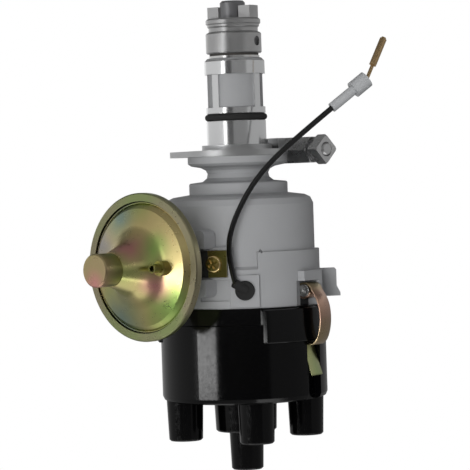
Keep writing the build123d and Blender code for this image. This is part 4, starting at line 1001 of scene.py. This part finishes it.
class SetStudio(bpy.types.Operator):
    """Sets the floor, the softboxes, the screens and the camera"""

    bl_idname = "distributor.set_studio"
    bl_label = "Set Studio"

    def execute(self, context):
        studio = context.scene.distributor_studio
        back = direction(studio.azimuth, studio.elevation)
        side = Vector((0, 0, 1)).cross(back).normalized()
        rise = back.cross(side)
        turn = Matrix.Rotation(math.pi - studio.roll, 3, back)
        right, up = turn @ side, turn @ rise
        centre = right * studio.aim_side - up * studio.aim_height
        camera = bpy.data.objects.new("Camera", bpy.data.cameras.new("Camera"))
        link(camera)
        camera.data.lens = studio.lens
        camera.data.sensor_width = 36.0
        camera.data.clip_start, camera.data.clip_end = 0.05, 20.0
        camera.matrix_world = Matrix.Translation(centre + back * studio.distance) @ Matrix(
            (right, up, back)).transposed().to_4x4()
        context.scene.camera = camera
        set_world(studio.fill)
        floor(CAD_LOW.z - studio.floor_gap)
        for name, angle, low, high, width, far, radiance in SOFTBOXES:
            softbox(name, studio.azimuth + math.radians(angle), low, high, width, far, radiance)
        for name, start, end, low, high, tone in SCREENS:
            first, last = studio.azimuth + math.radians(start), studio.azimuth + math.radians(end)
            screen(name, first, last, low, high, tone)
        context.scene.view_settings.view_transform = "Standard"
        return {"FINISHED"}


# Softboxes, which light the surfaces and aren't seen in them: name, degrees from the camera, lower and upper
# edge, width and distance in metres, radiance
SOFTBOXES = (
    ("key", 11, -0.28, 0.5, 0.4, 1.0, 8.0),
    ("right_fill", -98, -0.25, 0.6, 0.7, 1.1, 0.4),
)
# Screens that only reflections see: name, start and end in degrees from the camera, lower and upper edge in
# metres, brightness
SCREENS = (
    ("shank_front", 12, 37, -0.17, -0.002, 0.06),
    ("shank_middle", -45, 12, -0.17, -0.002, 0.26),
    ("shank_right", -178, -45, -0.17, -0.002, 0.46),
    ("shank_strip", 37, 50, -0.17, -0.002, 2.4),
    ("shank_left", 50, 140, -0.17, -0.002, 0.72),
    ("low_front", -35, 60, -0.9, -0.17, 0.42),
    ("low_right", -178, -35, -0.9, -0.17, 1.0),
    ("low_left", 60, 150, -0.9, -0.17, 0.6),
    ("can_front", -35, 60, -0.002, 0.116, 0.22),
    ("can_right", -178, -35, -0.002, 0.116, 0.36),
    ("can_left", 60, 150, -0.002, 0.116, 0.45),
    ("cap_front", -35, 38, 0.116, 0.28, 0.06),
    ("cap_right", -178, -35, 0.116, 0.28, 0.25),
    ("cap_strip", 38, 67, 0.116, 0.196, 12.5),
    ("cap_above_strip", 38, 67, 0.196, 0.28, 0.08),
    ("cap_left", 67, 178, 0.116, 0.28, 0.45),
    ("high_front", -35, 67, 0.28, 0.9, 0.24),
    ("high_right", -178, -35, 0.28, 0.9, 0.25),
    ("high_left", 67, 178, 0.28, 0.9, 0.3),
    ("overhead_bar", -75, -20, 0.95, 1.25, 2.6),
    ("overhead_front", -20, 180, 0.9, 1.4, 0.35),
    ("overhead_back", -180, -75, 0.9, 1.4, 0.35),
    ("under_bar", -75, -20, -1.25, -0.98, 1.2),
    ("under_front", -20, 180, -1.4, -0.9, 0.8),
    ("under_back", -180, -75, -1.4, -0.9, 1.0),
)


def direction(azimuth, elevation):
    flat = math.cos(elevation)
    return Vector((flat * math.cos(azimuth), flat * math.sin(azimuth), math.sin(elevation)))


def set_world(fill):
    """White behind the object and in its reflections, and an even grey light on it."""
    world = bpy.data.worlds.new("Studio")
    bpy.context.scene.world = world
    world.use_nodes = True
    tree = world.node_tree
    node, wire = tree.nodes.new, tree.links.new
    ray = node("ShaderNodeLightPath").outputs
    seen = ray["Is Camera Ray"]
    for kind in ("Is Glossy Ray", "Is Transmission Ray"):
        either = node("ShaderNodeMath")
        either.operation = "MAXIMUM"
        wire(seen, either.inputs[0])
        wire(ray[kind], either.inputs[1])
        seen = either.outputs[0]
    level = node("ShaderNodeMapRange")
    wire(seen, level.inputs["Value"])
    level.inputs["To Min"].default_value = fill
    level.inputs["To Max"].default_value = 1.0
    wire(level.outputs[0], tree.nodes["Background"].inputs["Strength"])
    tree.nodes["Background"].inputs["Color"].default_value = (1, 1, 1, 1)


def floor(height):
    """Pale round floor that fades into the background at its edge."""
    radius = 0.5
    shape = bmesh.new()
    bmesh.ops.create_circle(shape, cap_ends=True, segments=96, radius=radius)
    mesh = bpy.data.meshes.new("floor")
    shape.to_mesh(mesh)
    shape.free()
    mesh.transform(Matrix.Translation((0, 0, height)))
    obj = mesh_object("floor", mesh)
    r = Recipe("pale_floor")
    r.set(Base_Color=r.mix(r.noise(20 * MM), (0.80, 0.80, 0.80), (0.84, 0.84, 0.84)), Roughness=0.8)
    glow = r.add("ShaderNodeEmission")
    blend = r.tree.nodes.new("ShaderNodeMixShader")
    fade = r.spread(r.radius(), radius * 0.5, radius * 0.98)
    ray = r.add("ShaderNodeLightPath").outputs["Is Camera Ray"]
    r.tree.links.new(r.maths("MULTIPLY", fade, ray, clamp=True), blend.inputs[0])
    r.tree.links.new(r.shader.outputs[0], blend.inputs[1])
    r.tree.links.new(glow.outputs[0], blend.inputs[2])
    r.tree.links.new(blend.outputs[0], r.tree.nodes["Material Output"].inputs["Surface"])
    mesh.materials.append(r.material)


def softbox(name, azimuth, low, high, width, far, radiance):
    """Upright area light that faces the shaft."""
    data = bpy.data.lights.new(name, "AREA")
    data.shape = "RECTANGLE"
    data.size, data.size_y = width, high - low
    data.energy = radiance * math.pi * width * (high - low)
    toward = direction(azimuth, 0)
    obj = link(bpy.data.objects.new(name, data))
    turn = toward.to_track_quat("Z", "Y").to_matrix().to_4x4()
    obj.matrix_world = Matrix.Translation(toward * far + Vector((0, 0, (low + high) / 2))) @ turn
    obj.visible_glossy = False


def screen(name, start, end, low, high, tone, radius=0.8, steps=16):
    """Upright curved screen round the object, which only reflections see."""
    mesh = bpy.data.meshes.new(name)
    corners = []
    for k in range(steps + 1):
        toward = direction(start + (end - start) * k / steps, 0) * radius
        corners += [(toward.x, toward.y, low), (toward.x, toward.y, high)]
    faces = [(2 * k, 2 * k + 1, 2 * k + 3, 2 * k + 2) for k in range(steps)]
    mesh.from_pydata(corners, [], faces)
    obj = mesh_object(name, mesh)
    r = Recipe(name)
    r.set(Base_Color=(0.0, 0.0, 0.0), Specular_IOR_Level=0.0)
    r.set(Emission_Color=(1.0, 1.0, 1.0), Emission_Strength=tone)
    mesh.materials.append(r.material)
    obj.visible_camera = False
    obj.visible_diffuse = False
    obj.visible_transmission = False
    obj.visible_shadow = False


SETTINGS = {
    "distributor_casting": CastingSettings,
    "distributor_plating": PlatingSettings,
    "distributor_cap": CapSettings,
    "distributor_lead": LeadSettings,
    "distributor_springs": SpringSettings,
    "distributor_studio": StudioSettings,
}
OPERATORS = (
    FinishHousing, FinishDrive, FinishClamp, FinishVacuumUnit, FinishCap, FinishClips, FinishBreaker,
    FinishAdvance, MakeSprings, MakeLead, SetStudio)


class DistributorPanel(bpy.types.Panel):
    """Lists the steps that dress the distributor and their settings"""

    bl_idname = "VIEW3D_PT_distributor"
    bl_label = "Distributor"
    bl_space_type = "VIEW_3D"
    bl_region_type = "UI"
    bl_category = "Distributor"

    def draw(self, context):
        for step in OPERATORS:
            self.layout.operator(step.bl_idname)
        for name in SETTINGS:
            box = self.layout.box()
            settings = getattr(context.scene, name)
            for field in settings.bl_rna.properties:
                if field.identifier not in ("rna_type", "name"):
                    box.prop(settings, field.identifier)


def register():
    for name, group in SETTINGS.items():
        bpy.utils.register_class(group)
        setattr(bpy.types.Scene, name, PointerProperty(type=group))
    for step in (*OPERATORS, DistributorPanel):
        bpy.utils.register_class(step)


def unregister():
    for step in (DistributorPanel, *reversed(OPERATORS)):
        bpy.utils.unregister_class(step)
    for name, group in SETTINGS.items():
        delattr(bpy.types.Scene, name)
        bpy.utils.unregister_class(group)


def main():
    register()
    for step in OPERATORS:
        group, verb = step.bl_idname.split(".")
        getattr(getattr(bpy.ops, group), verb)()


if __name__ == "__main__":
    main()
